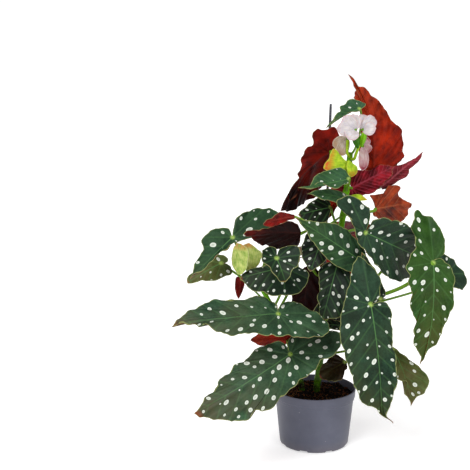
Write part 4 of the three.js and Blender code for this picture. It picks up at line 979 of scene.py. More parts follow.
# %% Leaf places
LEAVES = {
    "leaf_front_hanging": {
        "at": (67, -93, 231), "tip": (84, -110, 68), "face": (-0.1, -1, 0.3), "width": 73, "lobe": 68,
        "hand": -1, "droop": 16, "fold": 8, "bow": -3, "outline": "front", "cane": "main", "node": 215,
    },
    "leaf_right_hanging": {
        "at": (159, -46, 279), "tip": (146, -60, 136), "face": (0.1, -1, 0.2), "width": 70, "lobe": 74,
        "hand": -1, "droop": 26, "fold": 10, "bow": -4, "via": (122, -30, 242), "outline": "right",
        "cane": "main", "node": 200,
    },
    "leaf_far_right": {
        "at": (196, 44, 244), "tip": (132, 42, 284), "face": (0.1, -0.8, 0.6), "width": 42, "lobe": 42,
        "hand": -1, "droop": 20, "fold": 8, "cane": "main", "node": 186,
    },
    "leaf_upper_right": {
        "at": (63, -56, 323), "tip": (172, 36, 262), "face": (-0.25, -0.95, 0.22), "width": 80, "lobe": 63,
        "hand": -1, "droop": 26, "fold": 10, "outline": "hooked", "cane": "main", "node": 310,
    },
    "leaf_small_top": {
        "at": (42, -20, 393), "tip": (-30, -46, 384), "face": (0.1, -0.7, 0.75), "width": 32, "lobe": 3,
        "hand": -1, "droop": 20, "fold": 14, "bow": -4, "outline": "tailed", "cane": "main", "node": 372,
    },
    "leaf_narrow_top": {
        "at": (46, -20, 360), "tip": (-17, -34, 374), "face": (0, -0.75, 0.7), "width": 24, "lobe": 12,
        "hand": 1, "droop": 24, "fold": 14, "bow": -3, "cane": "main", "node": 350,
    },
    "leaf_centre": {
        "at": (60, -34, 279), "tip": (-36, -66, 346), "face": (-0.2, -0.9, 0.45), "width": 52, "lobe": 7,
        "hand": -1, "droop": 14, "fold": 8, "outline": "centre", "cane": "main", "node": 262,
    },
    "leaf_heart": {
        "at": (-61, -98, 296), "tip": (-50, -118, 268), "face": (0.05, -0.75, 0.6), "width": 52,
        "lobe": 22, "hand": 1, "droop": 20, "fold": 12, "via": (-72, -62, 292), "outline": "heart",
        "cane": "left", "node": 246,
    },
    "leaf_under_heart": {
        "at": (-50, -66, 276), "tip": (-110, -72, 262), "face": (0.05, -0.85, 0.55), "width": 53,
        "lobe": 32, "hand": 1, "droop": 26, "fold": 4, "outline": "under_heart", "cane": "left",
        "node": 208,
    },
    "leaf_left_upper": {
        "at": (-120, -62, 318), "tip": (-177, -92, 266), "face": (0.1, -0.85, 0.5), "width": 58,
        "lobe": 76, "hand": 1, "droop": 14, "fold": 14, "clasp": 50, "outline": "clasped", "cane": "left",
        "node": 262,
    },
    "leaf_left_long": {
        "at": (-58, -92, 218), "tip": (-202, -118, 208), "face": (0, -0.6, 0.8), "width": 77, "lobe": 73,
        "hand": 1, "droop": 22, "fold": 6, "bow": 3, "outline": "long", "cane": "left", "node": 176,
    },
    "leaf_left_low": {
        "at": (-41, -88, 160), "tip": (-172, -132, 91), "face": (-0.1, -0.72, 0.72), "width": 85,
        "lobe": 80, "hand": 1, "droop": 22, "fold": 6, "bow": 6, "outline": "left_low", "cane": "main",
        "node": 116,
    },
    "leaf_right_low": {
        "at": (110, -20, 147), "tip": (133, -60, 77), "face": (0.3, -0.75, 0.6), "width": 46, "lobe": 2,
        "hand": 1, "droop": 36, "fold": 14, "outline": "folded", "cane": "main", "node": 130,
    },
    "leaf_inner_hanging": {
        "at": (28, -30, 277), "tip": (4, -58, 197), "face": (-0.1, -0.95, 0.3), "width": 51, "lobe": 1,
        "hand": 1, "droop": 14, "fold": 6, "outline": "inner", "cane": "main", "node": 246,
    },
    "leaf_inner_dark": {
        "at": (4, -26, 304), "tip": (-12, -46, 266), "face": (-0.15, -0.9, 0.4), "width": 40, "lobe": 14,
        "hand": -1, "droop": 20, "fold": 6, "cane": "main", "node": 292,
    },
    "leaf_behind_centre": {
        "at": (18, -14, 352), "tip": (-29, -32, 343), "face": (-0.1, -0.8, 0.6), "width": 43, "lobe": 3,
        "hand": -1, "droop": 14, "fold": 8, "outline": "shaded", "cane": "main", "node": 318,
    },
    "leaf_inner_low": {
        "at": (39, -34, 200), "tip": (-9, -52, 210), "face": (-0.2, -0.9, 0.4), "width": 38, "lobe": 3,
        "hand": -1, "droop": 14, "fold": 8, "outline": "corner", "cane": "main", "node": 170,
    },
    "leaf_inner_bottom": {
        "at": (40, -38, 186), "tip": (6, -50, 192), "face": (-0.2, -0.8, 0.5), "width": 20, "lobe": 4,
        "hand": -1, "droop": 14, "fold": 8, "cane": "main", "node": 150,
    },
    "leaf_inner_right": {
        "at": (88, -40, 226), "tip": (58, -54, 296), "face": (-0.3, -0.9, 0.2), "width": 26, "lobe": 4,
        "hand": 1, "droop": 16, "fold": 10, "cane": "main", "node": 236,
    },
    "leaf_red_tall": {
        "at": (79, 32, 379), "tip": (43, 24, 537), "face": (0.3, 0.92, -0.1), "width": 66, "lobe": 6,
        "hand": 1, "droop": 26, "fold": 12, "bow": 17, "via": (56, 26, 402), "outline": "flame",
        "cane": "main", "node": 414,
    },
    "leaf_red_pointed": {
        "at": (93, 21, 376), "tip": (151, 12, 429), "face": (0.1, 0.9, -0.35), "width": 25, "lobe": 1,
        "hand": 1, "droop": 16, "fold": 16, "via": (68, 23, 366), "outline": "spear", "cane": "main",
        "node": 358,
    },
    "leaf_red_crinkled": {
        "at": (50, 12, 376), "tip": (107, 4, 408), "face": (0.1, 0.9, -0.35), "width": 39, "lobe": 29,
        "hand": 1, "droop": 20, "fold": 10, "outline": "ruffled", "cane": "main", "node": 378,
    },
    "leaf_inner_red": {
        "at": (-10, -8, 266), "tip": (-21, -22, 199), "face": (0.2, 0.95, 0.1), "width": 49, "lobe": 2,
        "hand": -1, "droop": 14, "fold": 10, "outline": "curtain", "cane": "main", "node": 230,
    },
    "leaf_red_fan": {
        "at": (83, 6, 347), "tip": (140, 34, 351), "face": (-0.35, 0.75, 0.3), "width": 72, "lobe": 6,
        "hand": 1, "droop": 14, "fold": 14, "outline": "fan", "cane": "main", "node": 338,
    },
    "leaf_maroon_hanging": {
        "at": (20, 34, 426), "tip": (-52, 6, 344), "face": (-0.55, 0.8, 0.1), "width": 93, "lobe": 28,
        "hand": 1, "droop": 20, "fold": 10, "bow": 9, "outline": "hanging", "cane": "main", "node": 396,
    },
    "leaf_topmost": {
        "at": (56, -14, 490), "tip": (8, -34, 464), "face": (0, -0.72, 0.75), "width": 22, "lobe": 17,
        "hand": -1, "droop": 40, "fold": 14, "outline": "twisted", "cane": "main", "node": 424,
    },
    "leaf_left_red_fold": {
        "at": (-36, -63, 347), "tip": (-79, -94, 342), "face": (0, 0.9, 0.4), "width": 21, "lobe": 1,
        "hand": 1, "droop": 16, "fold": 16, "via": (2, -49, 331), "outline": "crest", "cane": "main",
        "node": 338,
    },
    "leaf_left_maroon": {
        "at": (-26, -46, 321), "tip": (-106, -84, 327), "face": (0, 0.9, 0.4), "width": 53, "lobe": 6,
        "hand": 1, "droop": 14, "fold": 16, "via": (2, -20, 326), "outline": "pleat", "cane": "main",
        "node": 316,
    },
    "leaf_left_red_low": {
        "at": (-44, -54, 170), "tip": (-95, -68, 173), "face": (0, 0.95, 0.25), "width": 32, "lobe": 12,
        "hand": 1, "droop": 18, "fold": 12, "cane": "left", "node": 140,
    },
    "leaf_left_under": {
        "at": (-136, -34, 276), "tip": (-183, -54, 252), "face": (-0.1, -0.7, 0.7), "width": 40,
        "lobe": 12, "hand": 1, "droop": 16, "fold": 6, "outline": "heart", "cane": "left", "node": 240,
    },
    "leaf_small_red": {
        "at": (-108, -12, 248), "tip": (-112, -20, 221), "face": (0.1, 0.95, 0.1), "width": 14, "lobe": 3,
        "hand": 1, "droop": 20, "fold": 14, "cane": "left", "node": 214,
    },
    "leaf_small_orange": {
        "at": (25, 1, 359), "tip": (13, 2, 331), "face": (0.1, 0.95, 0.2), "width": 18, "lobe": 5,
        "hand": 1, "droop": 24, "fold": 16, "cane": "main", "node": 356,
    },
    "leaf_withered": {
        "at": (41, -30, 131), "tip": (4, -36, 110), "face": (-0.2, -0.85, 0.5), "width": 35, "lobe": 1,
        "hand": 1, "droop": 30, "fold": 14, "outline": "crumpled", "cane": "main", "node": 96,
    },
    "leaf_back_left": {
        "at": (-28, 66, 264), "tip": (-68, 120, 192), "face": (-0.35, 0.6, 0.7), "width": 60, "lobe": 56,
        "hand": 1, "droop": 28, "fold": 8, "cane": "left", "node": 196,
    },
    "leaf_back_middle": {
        "at": (44, 92, 292), "tip": (40, 168, 190), "face": (0, 0.86, 0.5), "width": 76, "lobe": 60,
        "hand": -1, "droop": 28, "fold": 8, "cane": "main", "node": 240,
    },
    "leaf_back_right": {
        "at": (129, 78, 279), "tip": (211, 118, 247), "face": (0.4, 0.62, 0.66), "width": 66, "lobe": 50,
        "hand": 1, "droop": 28, "fold": 8, "cane": "main", "node": 176,
    },
    "leaf_back_low": {
        "at": (-30, 84, 176), "tip": (-66, 160, 120), "face": (-0.2, 0.7, 0.66), "width": 70, "lobe": 50,
        "hand": -1, "droop": 26, "fold": 8, "cane": "main", "node": 120,
    },
}
print("leaves:", len(LEAVES))

# %% [markdown]
# ### From a flat blade to a bent one
# A place on the flat blade has three numbers: how far along the midrib it is, how far across, and how far
# it is raised. The midrib is an arc, the halves rise from it in a shallow V, and a clasped half folds up.
# Building the leaf flat first is what makes the veins and the spots easy: they belong to the flat leaf
# and bend with it.

# %% Bend a blade
FOLD_ROUND = 4


def blade_frame(leaf):
    """The directions, the arc and the length of a leaf's midrib."""
    at, tip, face = (np.array(leaf[key], float) for key in ("at", "tip", "face"))
    reach = np.linalg.norm(tip - at)
    along = (tip - at) / reach
    up = unit(face - along * np.dot(face, along))
    bend = math.radians(leaf["droop"])
    arc = reach / (2 * math.sin(bend / 2))
    ways = {"along": along, "up": up, "left": np.cross(up, along)}
    return {"at": at, **ways, "bend": bend, "arc": arc, "length": arc * bend}


def bent(leaf, rib, u, v, raised):
    """The place on the plant of places on the flat blade."""
    t = u / rib["length"]
    clasp = np.where(v > 0, leaf.get("clasp", 0) * smoothstep(0, 0.35, t), 0)
    slope = np.radians(leaf.get("fold", 0) + clasp)
    tilt = slope * v / np.hypot(v, FOLD_ROUND)
    lift = np.sin(slope) * (np.hypot(v, FOLD_ROUND) - FOLD_ROUND) + raised * np.cos(tilt)
    bow = leaf.get("bow", 0)
    sway = np.where(t > 0, 4 * bow * t * (1 - t), 4 * bow * t)
    across = (v * np.cos(slope) + sway - raised * np.sin(tilt)) * leaf.get("hand", 1)
    angle = rib["bend"] / 2 - u / rib["arc"]
    x = rib["arc"] * (math.sin(rib["bend"] / 2) - np.sin(angle)) - lift * np.sin(angle)
    z = rib["arc"] * (np.cos(angle) - math.cos(rib["bend"] / 2)) + lift * np.cos(angle)
    return rib["at"] + np.outer(x, rib["along"]) + np.outer(z, rib["up"]) + np.outer(across, rib["left"])


print("the front leaf's midrib is", round(blade_frame(LEAVES["leaf_front_hanging"])["length"]), "mm long")

# %% [markdown]
# ### The edge
# A real edge isn't a clean curve: it has shallow bays between the vein ends, and it waves up and down.
# The outline is sampled every 2.4 mm and moved in and out by a few seeded sine waves.

# %% Outline with an uneven edge
EDGE_STEP = 2.4
BAY_LENGTHS = (33, 19, 9)
BAY_SHARES = (1, 0.6, 0.3)


def edge_wave(run, lengths, shares, chance):
    """A seeded wave along an edge, between about -1 and 1."""
    phases = chance.uniform(0, 2 * math.pi, size=len(lengths))
    rows = zip(lengths, shares, phases)
    total = sum(share * np.sin(2 * math.pi * run / length + phase) for length, share, phase in rows)
    return total / sum(shares)


def blade_outline(leaf, length, bays, chance):
    """The outline on the flat blade, how far along it each point is, and which way is outward there."""
    shape = OUTLINES[leaf.get("outline", "wing")]
    lobe = leaf.get("lobe", 1)
    halves = []
    for half in ("narrow", "wide"):
        u, v = shape[half].T
        x = np.where(u > 0, u * length, u * lobe / shape["lobe"])
        y = v * leaf["width"] / shape["span"] * np.where((v < 0) & (u > 0), leaf.get("slim", 1), 1)
        y = np.where(x < 0, y - leaf.get("lean", 0) * x / lobe, y)
        halves.append(spline(np.stack([x, y], axis=1), 24))
    sizes = [np.linalg.norm(np.diff(half, axis=0), axis=1).sum() for half in halves]
    evened = [even(half, max(9, round(size / EDGE_STEP))) for half, size in zip(halves, sizes)]
    line = np.vstack([evened[0], evened[1][1:]])
    run = run_along(line)
    ways = np.gradient(line, axis=0)
    outward = np.stack([ways[:, 1], -ways[:, 0]], axis=1) / np.linalg.norm(ways, axis=1)[:, None]
    outward *= np.where(np.sum(outward * line, axis=1) < 0, -1, 1)[:, None]
    calm = smoothstep(0, 12, run) * smoothstep(0, 12, run[-1] - run)
    calm *= smoothstep(0, 8, np.abs(run - sizes[0]))
    line = line + outward * (bays * calm * edge_wave(run, BAY_LENGTHS, BAY_SHARES, chance))[:, None]
    return line, run, outward


# %% [markdown]
# ### The veins
# The side veins leave the midrib at about 42 degrees, and behind the first pair they fan out round the
# stalk. One number says where a place lies between two veins: it is whole on every vein. On the blade's
# front it counts along the midrib, and behind it counts round the stalk, and both are zero on the first
# pair. The mesh uses it to quilt the blade between the veins, and the finish uses it to draw them.

# %% Vein count
VEIN_ANGLE = math.radians(42)
VEIN_FAN = math.radians(34.5)


def vein_count(u, v, step):
    """How many veins away from the first pair a place is, and how many millimetres one count is there."""
    run = u - np.abs(v) / math.tan(VEIN_ANGLE)
    turn = (VEIN_ANGLE - np.arctan2(np.abs(v), u)) / VEIN_FAN
    radius = np.hypot(u, v)
    ahead = run > 0
    count_mm = np.where(ahead, step * math.sin(VEIN_ANGLE), radius * VEIN_FAN)
    return np.where(ahead, run / step, turn), count_mm


def between_veins(count):
    """0 on a vein and 1 midway between two."""
    return np.abs((count + 0.5) % 1 - 0.5) * 2


midrib_counts, _ = vein_count(np.array([20.0, 60.0, 100.0]), np.zeros(3), 22)
print("vein counts along a 100 mm midrib:", midrib_counts.round(1))

# %% [markdown]
# ### The blade as a thin closed sheet
# The blade is two skins half a millimetre apart, joined by a rim and by the two sides of the notch, so it
# is closed like a real leaf. Its mesh is a fan of rings round the stalk, which lets the veins, the dimple
# over the stalk and the wavy edge all fall on mesh lines.

# %% Blade mesh
TOP, UNDER, MARGIN, STALK = range(4)
HALF_THICKNESS = 0.27
RING_STEP = 5
FULL_WIDTH = 70
RIPPLE_LENGTHS = (37, 22, 12)
RIPPLE_SHARES = (1, 0.7, 0.3)
SWELL_LENGTHS = (95, 52)
SWELL_HEIGHTS = (1.5, 0.9)
RIB_WIDTH = 1.7


def blade_rings(reach):
    """Shares of the way from the stalk to the edge, with two close together at the edge."""
    count = int(np.clip(reach / RING_STEP, 7, 34))
    return np.append(np.linspace(1 / count, 1, count) * 0.985, 1)


def blade_faces(rings, count, flipped):
    """The faces of a closed blade and the finish of each."""
    side = 1 + rings * count
    faces, kinds = [], []
    top = np.arange(rings * count).reshape(rings, count) + 1
    under = top + side
    for i in range(count - 1):
        faces += [(0, top[0, i], top[0, i + 1]), (side, under[0, i + 1], under[0, i])]
        kinds += [TOP, UNDER]
        for r in range(rings - 1):
            faces.append((top[r, i], top[r + 1, i], top[r + 1, i + 1], top[r, i + 1]))
            faces.append((under[r, i], under[r, i + 1], under[r + 1, i + 1], under[r + 1, i]))
            kinds += [TOP, UNDER]
        faces.append((top[-1, i], under[-1, i], under[-1, i + 1], top[-1, i + 1]))
        kinds.append(MARGIN)
    sides = (((side, *under[:, 0]), (0, *top[:, 0])), ((0, *top[:, -1]), (side, *under[:, -1])))
    for one, other in sides:
        for r in range(rings):
            faces.append((one[r], one[r + 1], other[r + 1], other[r]))
            kinds.append(MARGIN)
    faces = [tuple(int(i) for i in (face[::-1] if flipped else face)) for face in faces]
    return faces, kinds


def blade_part(leaf, look, seed):
    """A blade's corners, faces, finishes and maps. The look says how wavy, quilted and bayed it is."""
    chance = np.random.default_rng(seed)
    rib = blade_frame(leaf)
    size = leaf["width"] / FULL_WIDTH
    line, run, outward = blade_outline(leaf, rib["length"], look.get("bays", 1.5) * size**0.5, chance)
    shares = blade_rings(np.linalg.norm(line, axis=1).max())
    flat = np.vstack([[(0, 0)], *[line * share for share in shares]])
    share = np.concatenate([[0], np.repeat(shares, len(line))])
    wave = edge_wave(run, RIPPLE_LENGTHS, RIPPLE_SHARES, chance)
    rise = np.concatenate([[0], np.tile(wave, len(shares))]) * share**4 * look.get("ripple", 3) * size**0.5
    u, v = flat.T
    radius = np.hypot(u, v)
    t = u / rib["length"]
    step = look.get("vein_step", 22) * max(size, 0.45)
    count, count_mm = vein_count(u, v, step)
    valley = (1 - between_veins(count)) ** 1.7 * smoothstep(0, 14, radius) * (1 - 0.6 * share**6)
    raised = rise - look.get("quilt", 0.6) * size**0.3 * valley
    raised += waves(flat, SWELL_LENGTHS, [height * size for height in SWELL_HEIGHTS], chance) * share**2
    raised -= 0.9 * np.exp(-((radius / 6) ** 2)) * min(size, 1)
    raised += look.get("curl", 0) * smoothstep(0.78, 1, t) ** 2
    v_placed = v + look.get("hook", 0) * smoothstep(0.86, 1, t) ** 2
    fading = np.where(u > -3, 1 - 0.75 * np.clip(t, 0, 1), 0)
    ridge = look.get("rib", 0.8) * np.exp(-((v / RIB_WIDTH) ** 2)) * fading * size**0.3
    thin = HALF_THICKNESS * look.get("thickness", 1)
    top = bent(leaf, rib, u, v_placed, raised + thin)
    under = bent(leaf, rib, u, v_placed, raised - thin - ridge * (share > 0.02))
    faces, kinds = blade_faces(len(shares), len(line), leaf.get("hand", 1) < 0)
    depth = np.abs(np.sum(line * outward, axis=1))
    to_edge = np.concatenate([[depth.mean()], np.outer(1 - shares, depth).ravel()])
    shift = chance.uniform(0, 0.4, size=2)
    maps = {
        "leaf_plane": flat * MM,
        "leaf_edge": np.stack([to_edge * MM, t], axis=1),
        "leaf_veins": np.stack([count, count_mm * MM], axis=1),
        "dot_shift": np.tile(shift, (len(flat), 1)),
    }
    both = {name: np.vstack([values, values]) for name, values in maps.items()}
    return np.vstack([top, under]), faces, kinds, both


# %% [markdown]
# ### The leaf stalk
# The stalk is part of the leaf. It leaves the blade's underside, widens a little where it joins both the
# blade and the cane, and bends the way the weight of the leaf pulls it.

# %% Stalk mesh
STALK_RADIUS = 2
STALK_POINTS = 44
BLADE_MAPS = ("leaf_plane", "leaf_edge", "leaf_veins", "dot_shift")


def stalk_line(leaf):
    """The middle line of a leaf stalk, from the blade to its cane."""
    rib = blade_frame(leaf)
    start = rib["at"] - 1.3 * rib["up"]
    node = cane_at(leaf["cane"], leaf["node"])
    if "via" in leaf:
        return even(spline([start, leaf["via"], node], 20), STALK_POINTS)
    reach = np.linalg.norm(rib["at"] - node)
    leave = start - 0.24 * reach * rib["up"] - 0.12 * reach * rib["along"]
    outward = unit((rib["at"] - node) * (1, 1, 0))
    arrive = node + 0.3 * reach * outward + np.array([0, 0, 0.12 * reach])
    t = np.linspace(0, 1, 60)[:, None]
    curve = (1 - t) ** 3 * start + 3 * (1 - t) ** 2 * t * leave
    curve = curve + 3 * (1 - t) * t**2 * arrive + t**3 * node
    return even(curve, STALK_POINTS)


def stalk_part(leaf, look):
    """A leaf stalk's corners, faces, finishes and maps."""
    line = stalk_line(leaf)
    run = run_along(line)
    thick = look.get("stalk", STALK_RADIUS * min(1, 0.55 + leaf["width"] / 140))
    radii = thick * (1 + 0.35 * np.exp(-run / 5) + 0.35 * np.exp(-(run[-1] - run) / 7))
    corners, faces, places = tube(line, radii, 14)
    maps = {name: np.zeros((len(corners), 2)) for name in BLADE_MAPS}
    maps["leaf_plane"] = places * MM
    return corners, faces, [STALK] * len(faces), maps


def join_organs(parts):
    """Joins blades and stalks, each with its maps, into one mesh."""
    corners, faces, kinds, start = [], [], [], 0
    for part_corners, part_faces, part_kinds, _ in parts:
        faces += [tuple(i + start for i in face) for face in part_faces]
        corners.append(part_corners)
        kinds += part_kinds
        start += len(part_corners)
    maps = {name: np.vstack([part[3][name] for part in parts]) for name in BLADE_MAPS}
    return np.vstack(corners), faces, kinds, maps


front_stalk = stalk_line(LEAVES["leaf_front_hanging"])
print("front stalk length:", round(float(run_along(front_stalk)[-1])), "mm")

# %% [markdown]
# ### The spots
# The spots are patches without green, 3 to 12 mm long and about 18 mm apart. They are ovals that point
# outwards along the veins, and some are only specks. A cell texture on the flat blade gives each spot a
# middle, and a distance that is shorter along the vein direction makes the oval. The spots could also be
# modelled as raised discs, but a real spot is flush with the leaf.

# %% Oval spots from a cell texture
# Spacing, smallest radius and largest radius in millimetres.
LARGE_SPOTS = (17.5, 1.1, 3.5)
SMALL_SPOTS = (12.5, 0.8, 2.4)


def oval_spots(tree, plane, shift, to_edge, spacing, small, large):
    """1 inside the spots and 0 outside, and how far out a place is in its spot. Sizes are millimetres."""
    moved = add(tree, "VectorMath", {0: plane, 1: shift}, operation="ADD")
    cell = flat_cells(tree, moved, spacing, 0.66)
    middle = add(tree, "VectorMath", {0: cell.outputs["Position"], 1: shift}, operation="SUBTRACT")
    axes = add(tree, "SeparateXYZ", {0: middle})
    aside = add(tree, "Math", {0: axes.outputs["Y"]}, operation="ABSOLUTE")
    lead = times(tree, aside, 1.4)
    ahead = add(tree, "Math", {0: axes.outputs["X"], 1: lead}, operation="MINIMUM")
    vein_way = add(tree, "CombineXYZ", {"X": ahead, "Y": axes.outputs["Y"]})
    way = add(tree, "VectorMath", {0: vein_way}, operation="NORMALIZE")
    away = add(tree, "VectorMath", {0: moved, 1: cell.outputs["Position"]}, operation="SUBTRACT")
    length = add(tree, "VectorMath", {0: away, 1: away}, operation="DOT_PRODUCT")
    along = add(tree, "VectorMath", {0: away, 1: way}, operation="DOT_PRODUCT")
    square = times(tree, along, along)
    draw = add(tree, "SeparateColor", {"Color": cell.outputs["Color"]})
    slender = ramp(tree, draw.outputs["Green"], low=-0.36, high=-0.64)
    stretched = add(tree, "Math", {0: square, 1: slender, 2: length}, operation="MULTIPLY_ADD")
    distance = add(tree, "Math", {0: stretched}, operation="SQRT")
    share = add(tree, "Math", {0: draw.outputs["Red"], 1: 0.7}, operation="POWER")
    size = ramp(tree, share, low=small * MM, high=large * MM)
    near_edge = ramp(tree, to_edge, end=12 * MM, low=0.55)
    off_rib = ramp(tree, aside, 1.5 * MM, 4.5 * MM)
    size = times(tree, size, near_edge)
    size = times(tree, size, off_rib)
    inner = add(tree, "Math", {0: size, 1: 0.5 * MM}, operation="SUBTRACT")
    inside = add(
        tree,
        "MapRange",
        {"Value": distance, "From Min": size, "From Max": inner, "To Min": 0.0, "To Max": 1.0},
        interpolation_type="SMOOTHSTEP",
    )
    return inside, add(tree, "Math", {0: distance, 1: size}, operation="DIVIDE")


# %% [markdown]
# ### The upper side of a leaf
# A mature upper side is dark blue-green and satin. Its green is finely mottled, and olive patches come in
# towards the tip as the leaf ages. Fine cells of about 0.9 mm give it a leathery grain. The midrib is a
# thin lighter line, the edge has a pale rim a millimetre wide, a yellow-green spot marks the stalk, and
# the tip is scorched.

# %% Spotted upper side
def leaf_inputs(tree):
    """What the flat blade tells a finish: its plane, the edge distance, the share along, the vein gap."""
    plane = add(tree, "UVMap", uv_map="leaf_plane")
    edge = add(tree, "SeparateXYZ", {0: add(tree, "UVMap", uv_map="leaf_edge")})
    veins = add(tree, "SeparateXYZ", {0: add(tree, "UVMap", uv_map="leaf_veins")})
    gap = add(tree, "Math", {0: veins.outputs["X"], 1: 0.5}, operation="PINGPONG")
    gap_length = times(tree, gap, veins.outputs["Y"])
    return plane, edge.outputs["X"], edge.outputs["Y"], gap_length


def rib_line(tree, plane, along, width):
    """1 on the midrib, thinner and weaker towards the tip, and 0 elsewhere."""
    axes = add(tree, "SeparateXYZ", {0: plane})
    aside = add(tree, "Math", {0: axes.outputs["Y"]}, operation="ABSOLUTE")
    line = ramp(tree, aside, width * MM, width * 0.35 * MM)
    ahead = ramp(tree, axes.outputs["X"], -1 * MM, 1 * MM)
    fade = ramp(tree, along, low=1.0, high=0.15)
    return times(tree, times(tree, line, ahead), fade)


def spotted_top(name, dark, light, tip, margin="7e8450", spots=LARGE_SPOTS, rib="47703c"):
    """The green upper side with silver spots. The tip colour comes in, in patches, towards the tip."""
    made, tree = new_material(name)
    plane, to_edge, along, gap = leaf_inputs(tree)
    shift = add(tree, "UVMap", uv_map="dot_shift")
    spread = add(tree, "VectorMath", {0: plane, 1: shift}, operation="ADD")
    patch = noise(tree, spread, 30, 5.0, 0.6)
    fine = noise(tree, spread, 3.2, 4.0, 0.7)
    mottle = add(tree, "Math", {0: fine, 1: 0.5, 2: patch}, operation="MULTIPLY_ADD")
    tone = ramp(tree, mottle, 0.6, 0.9)
    skin = blend(tree, tone, colour(dark), colour(light))
    ripe = ramp(tree, along, 0.1, 0.95, low=0.12, high=1.0)
    age = noise(tree, spread, 52, 5.0, 0.62)
    age = ramp(tree, age, 0.36, 0.6)
    skin = blend(tree, times(tree, ripe, age), skin, colour(tip))
    vein = ramp(tree, gap, 1.6 * MM, 0.2 * MM, high=0.2)
    skin = blend(tree, vein, skin, colour(rib))
    skin = blend(tree, times(tree, rib_line(tree, plane, along, 1.0), 0.85), skin, colour(rib))
    if spots:
        spot, out = oval_spots(tree, plane, shift, to_edge, *spots)
        ring = ramp(tree, out, 0.25, 0.8)
        skin = blend(tree, spot, skin, blend(tree, ring, colour("a4aa9e"), colour("c8cdc2")))
    middle = add(tree, "VectorMath", {0: plane}, operation="LENGTH")
    hub = ramp(tree, middle.outputs["Value"], 4.4 * MM, 1.4 * MM)
    skin = blend(tree, hub, skin, colour("88a04e"))
    burnt = ramp(tree, along, 0.93, 0.985, high=0.9)
    skin = blend(tree, burnt, skin, colour("74361c"))
    rim = ramp(tree, to_edge, 1.0 * MM, 0.5 * MM, high=0.8)
    skin = blend(tree, rim, skin, colour(margin))
    cells = flat_cells(tree, plane, 0.9, 1.0)
    grain = add(tree, "Math", {0: fine, 1: 1.6, 2: times(tree, cells, 0.16)}, operation="MULTIPLY_ADD")
    grain = add(tree, "Math", {0: vein, 1: -1.6, 2: grain}, operation="MULTIPLY_ADD")
    bump = add(tree, "Bump", {"Height": grain, "Strength": 0.5, "Distance": 0.5 * MM})
    rough = ramp(tree, patch, 0.3, 0.7, low=0.36, high=0.52)
    finish_material(
        tree,
        {"Base Color": skin, "Roughness": rough, "Normal": bump, "Specular IOR Level": 0.12},
    )
    return made


# %% [markdown]
# ### The underside of a leaf
# Below, the same leaf is red, because its pigment lies there. Young leaves are bright scarlet where light
# comes through, old ones are nearly maroon. The veins stand out as ridges, a little paler, and painted
# shade darkens the creases beside them.

# %% Red underside
def red_underside(name, deep, bright, ridge, glow=0.0, crease_shade="1e0304", far=None, far_from=0.3):
    """The red lower side. Glow is the light that soaks through. Far is the colour towards the tip."""
    made, tree = new_material(name)
    plane, to_edge, along, gap = leaf_inputs(tree)
    shift = add(tree, "UVMap", uv_map="dot_shift")
    spread = add(tree, "VectorMath", {0: plane, 1: shift}, operation="ADD")
    patch = noise(tree, spread, 24, 6.0, 0.66)
    tone = ramp(tree, patch, 0.34, 0.66)
    skin = blend(tree, tone, colour(deep), colour(bright))
    if far:
        late = add(tree, "Math", {0: patch, 1: 0.5, 2: along}, operation="MULTIPLY_ADD")
        late = ramp(tree, late, far_from + 0.25, far_from + 0.6)
        skin = blend(tree, late, skin, colour(far))
    # Painted shade: the fold mask darkens the creases beside the veins, in patches, with the crease shade
    # colour.
    fold = ramp(tree, gap, 4.5 * MM, 0.6 * MM, high=0.8)
    fold = times(tree, fold, ramp(tree, patch, 0.62, 0.36))
    skin = blend(tree, fold, skin, colour(crease_shade))
    vein = ramp(tree, gap, 0.9 * MM, 0.2 * MM, high=0.34)
    skin = blend(tree, vein, skin, colour(ridge))
    skin = blend(tree, times(tree, rib_line(tree, plane, along, 1.7), 0.8), skin, colour(ridge))
    ghost, _ = oval_spots(tree, plane, shift, to_edge, *LARGE_SPOTS)
    skin = blend(tree, times(tree, ghost, 0.1), skin, colour(ridge))
    rim = ramp(tree, to_edge, 1.0 * MM, 0.4 * MM, high=0.6)
    skin = blend(tree, rim, skin, colour("7a4630"))
    cells = flat_cells(tree, plane, 1.1, 1.0)
    grain = add(tree, "Math", {0: vein, 1: 2.0, 2: cells}, operation="MULTIPLY_ADD")
    bump = add(tree, "Bump", {"Height": grain, "Strength": 0.5, "Distance": 0.35 * MM})
    rough = ramp(tree, patch, 0.3, 0.7, low=0.32, high=0.5)
    finish_material(
        tree,
        {
            "Base Color": skin,
            "Roughness": rough,
            "Normal": bump,
            "Specular IOR Level": 0.08,
            "Subsurface Weight": glow,
            "Subsurface Radius": (1.0, 0.2, 0.08),
            "Subsurface Scale": 1.2 * MM,
        },
    )
    return made


def leaf_margin():
    """The thin pale rim of a blade, green in places and pink in others."""
    made, tree = new_material("pale leaf rim")
    place = add(tree, "TexCoord").outputs["Object"]
    patch = noise(tree, place, 30, 3.0)
    tone = ramp(tree, patch, 0.4, 0.62)
    skin = blend(tree, tone, colour("7e8448"), colour("7a4e3c"))
    grain = noise(tree, place, 1.5, 2.0)
    bump = add(tree, "Bump", {"Height": grain, "Strength": 0.3, "Distance": 0.2 * MM})
    rough = ramp(tree, patch, low=0.4, high=0.6)
    finish_material(tree, {"Base Color": skin, "Roughness": rough, "Normal": bump})
    return made


print("blade materials are ready to make")
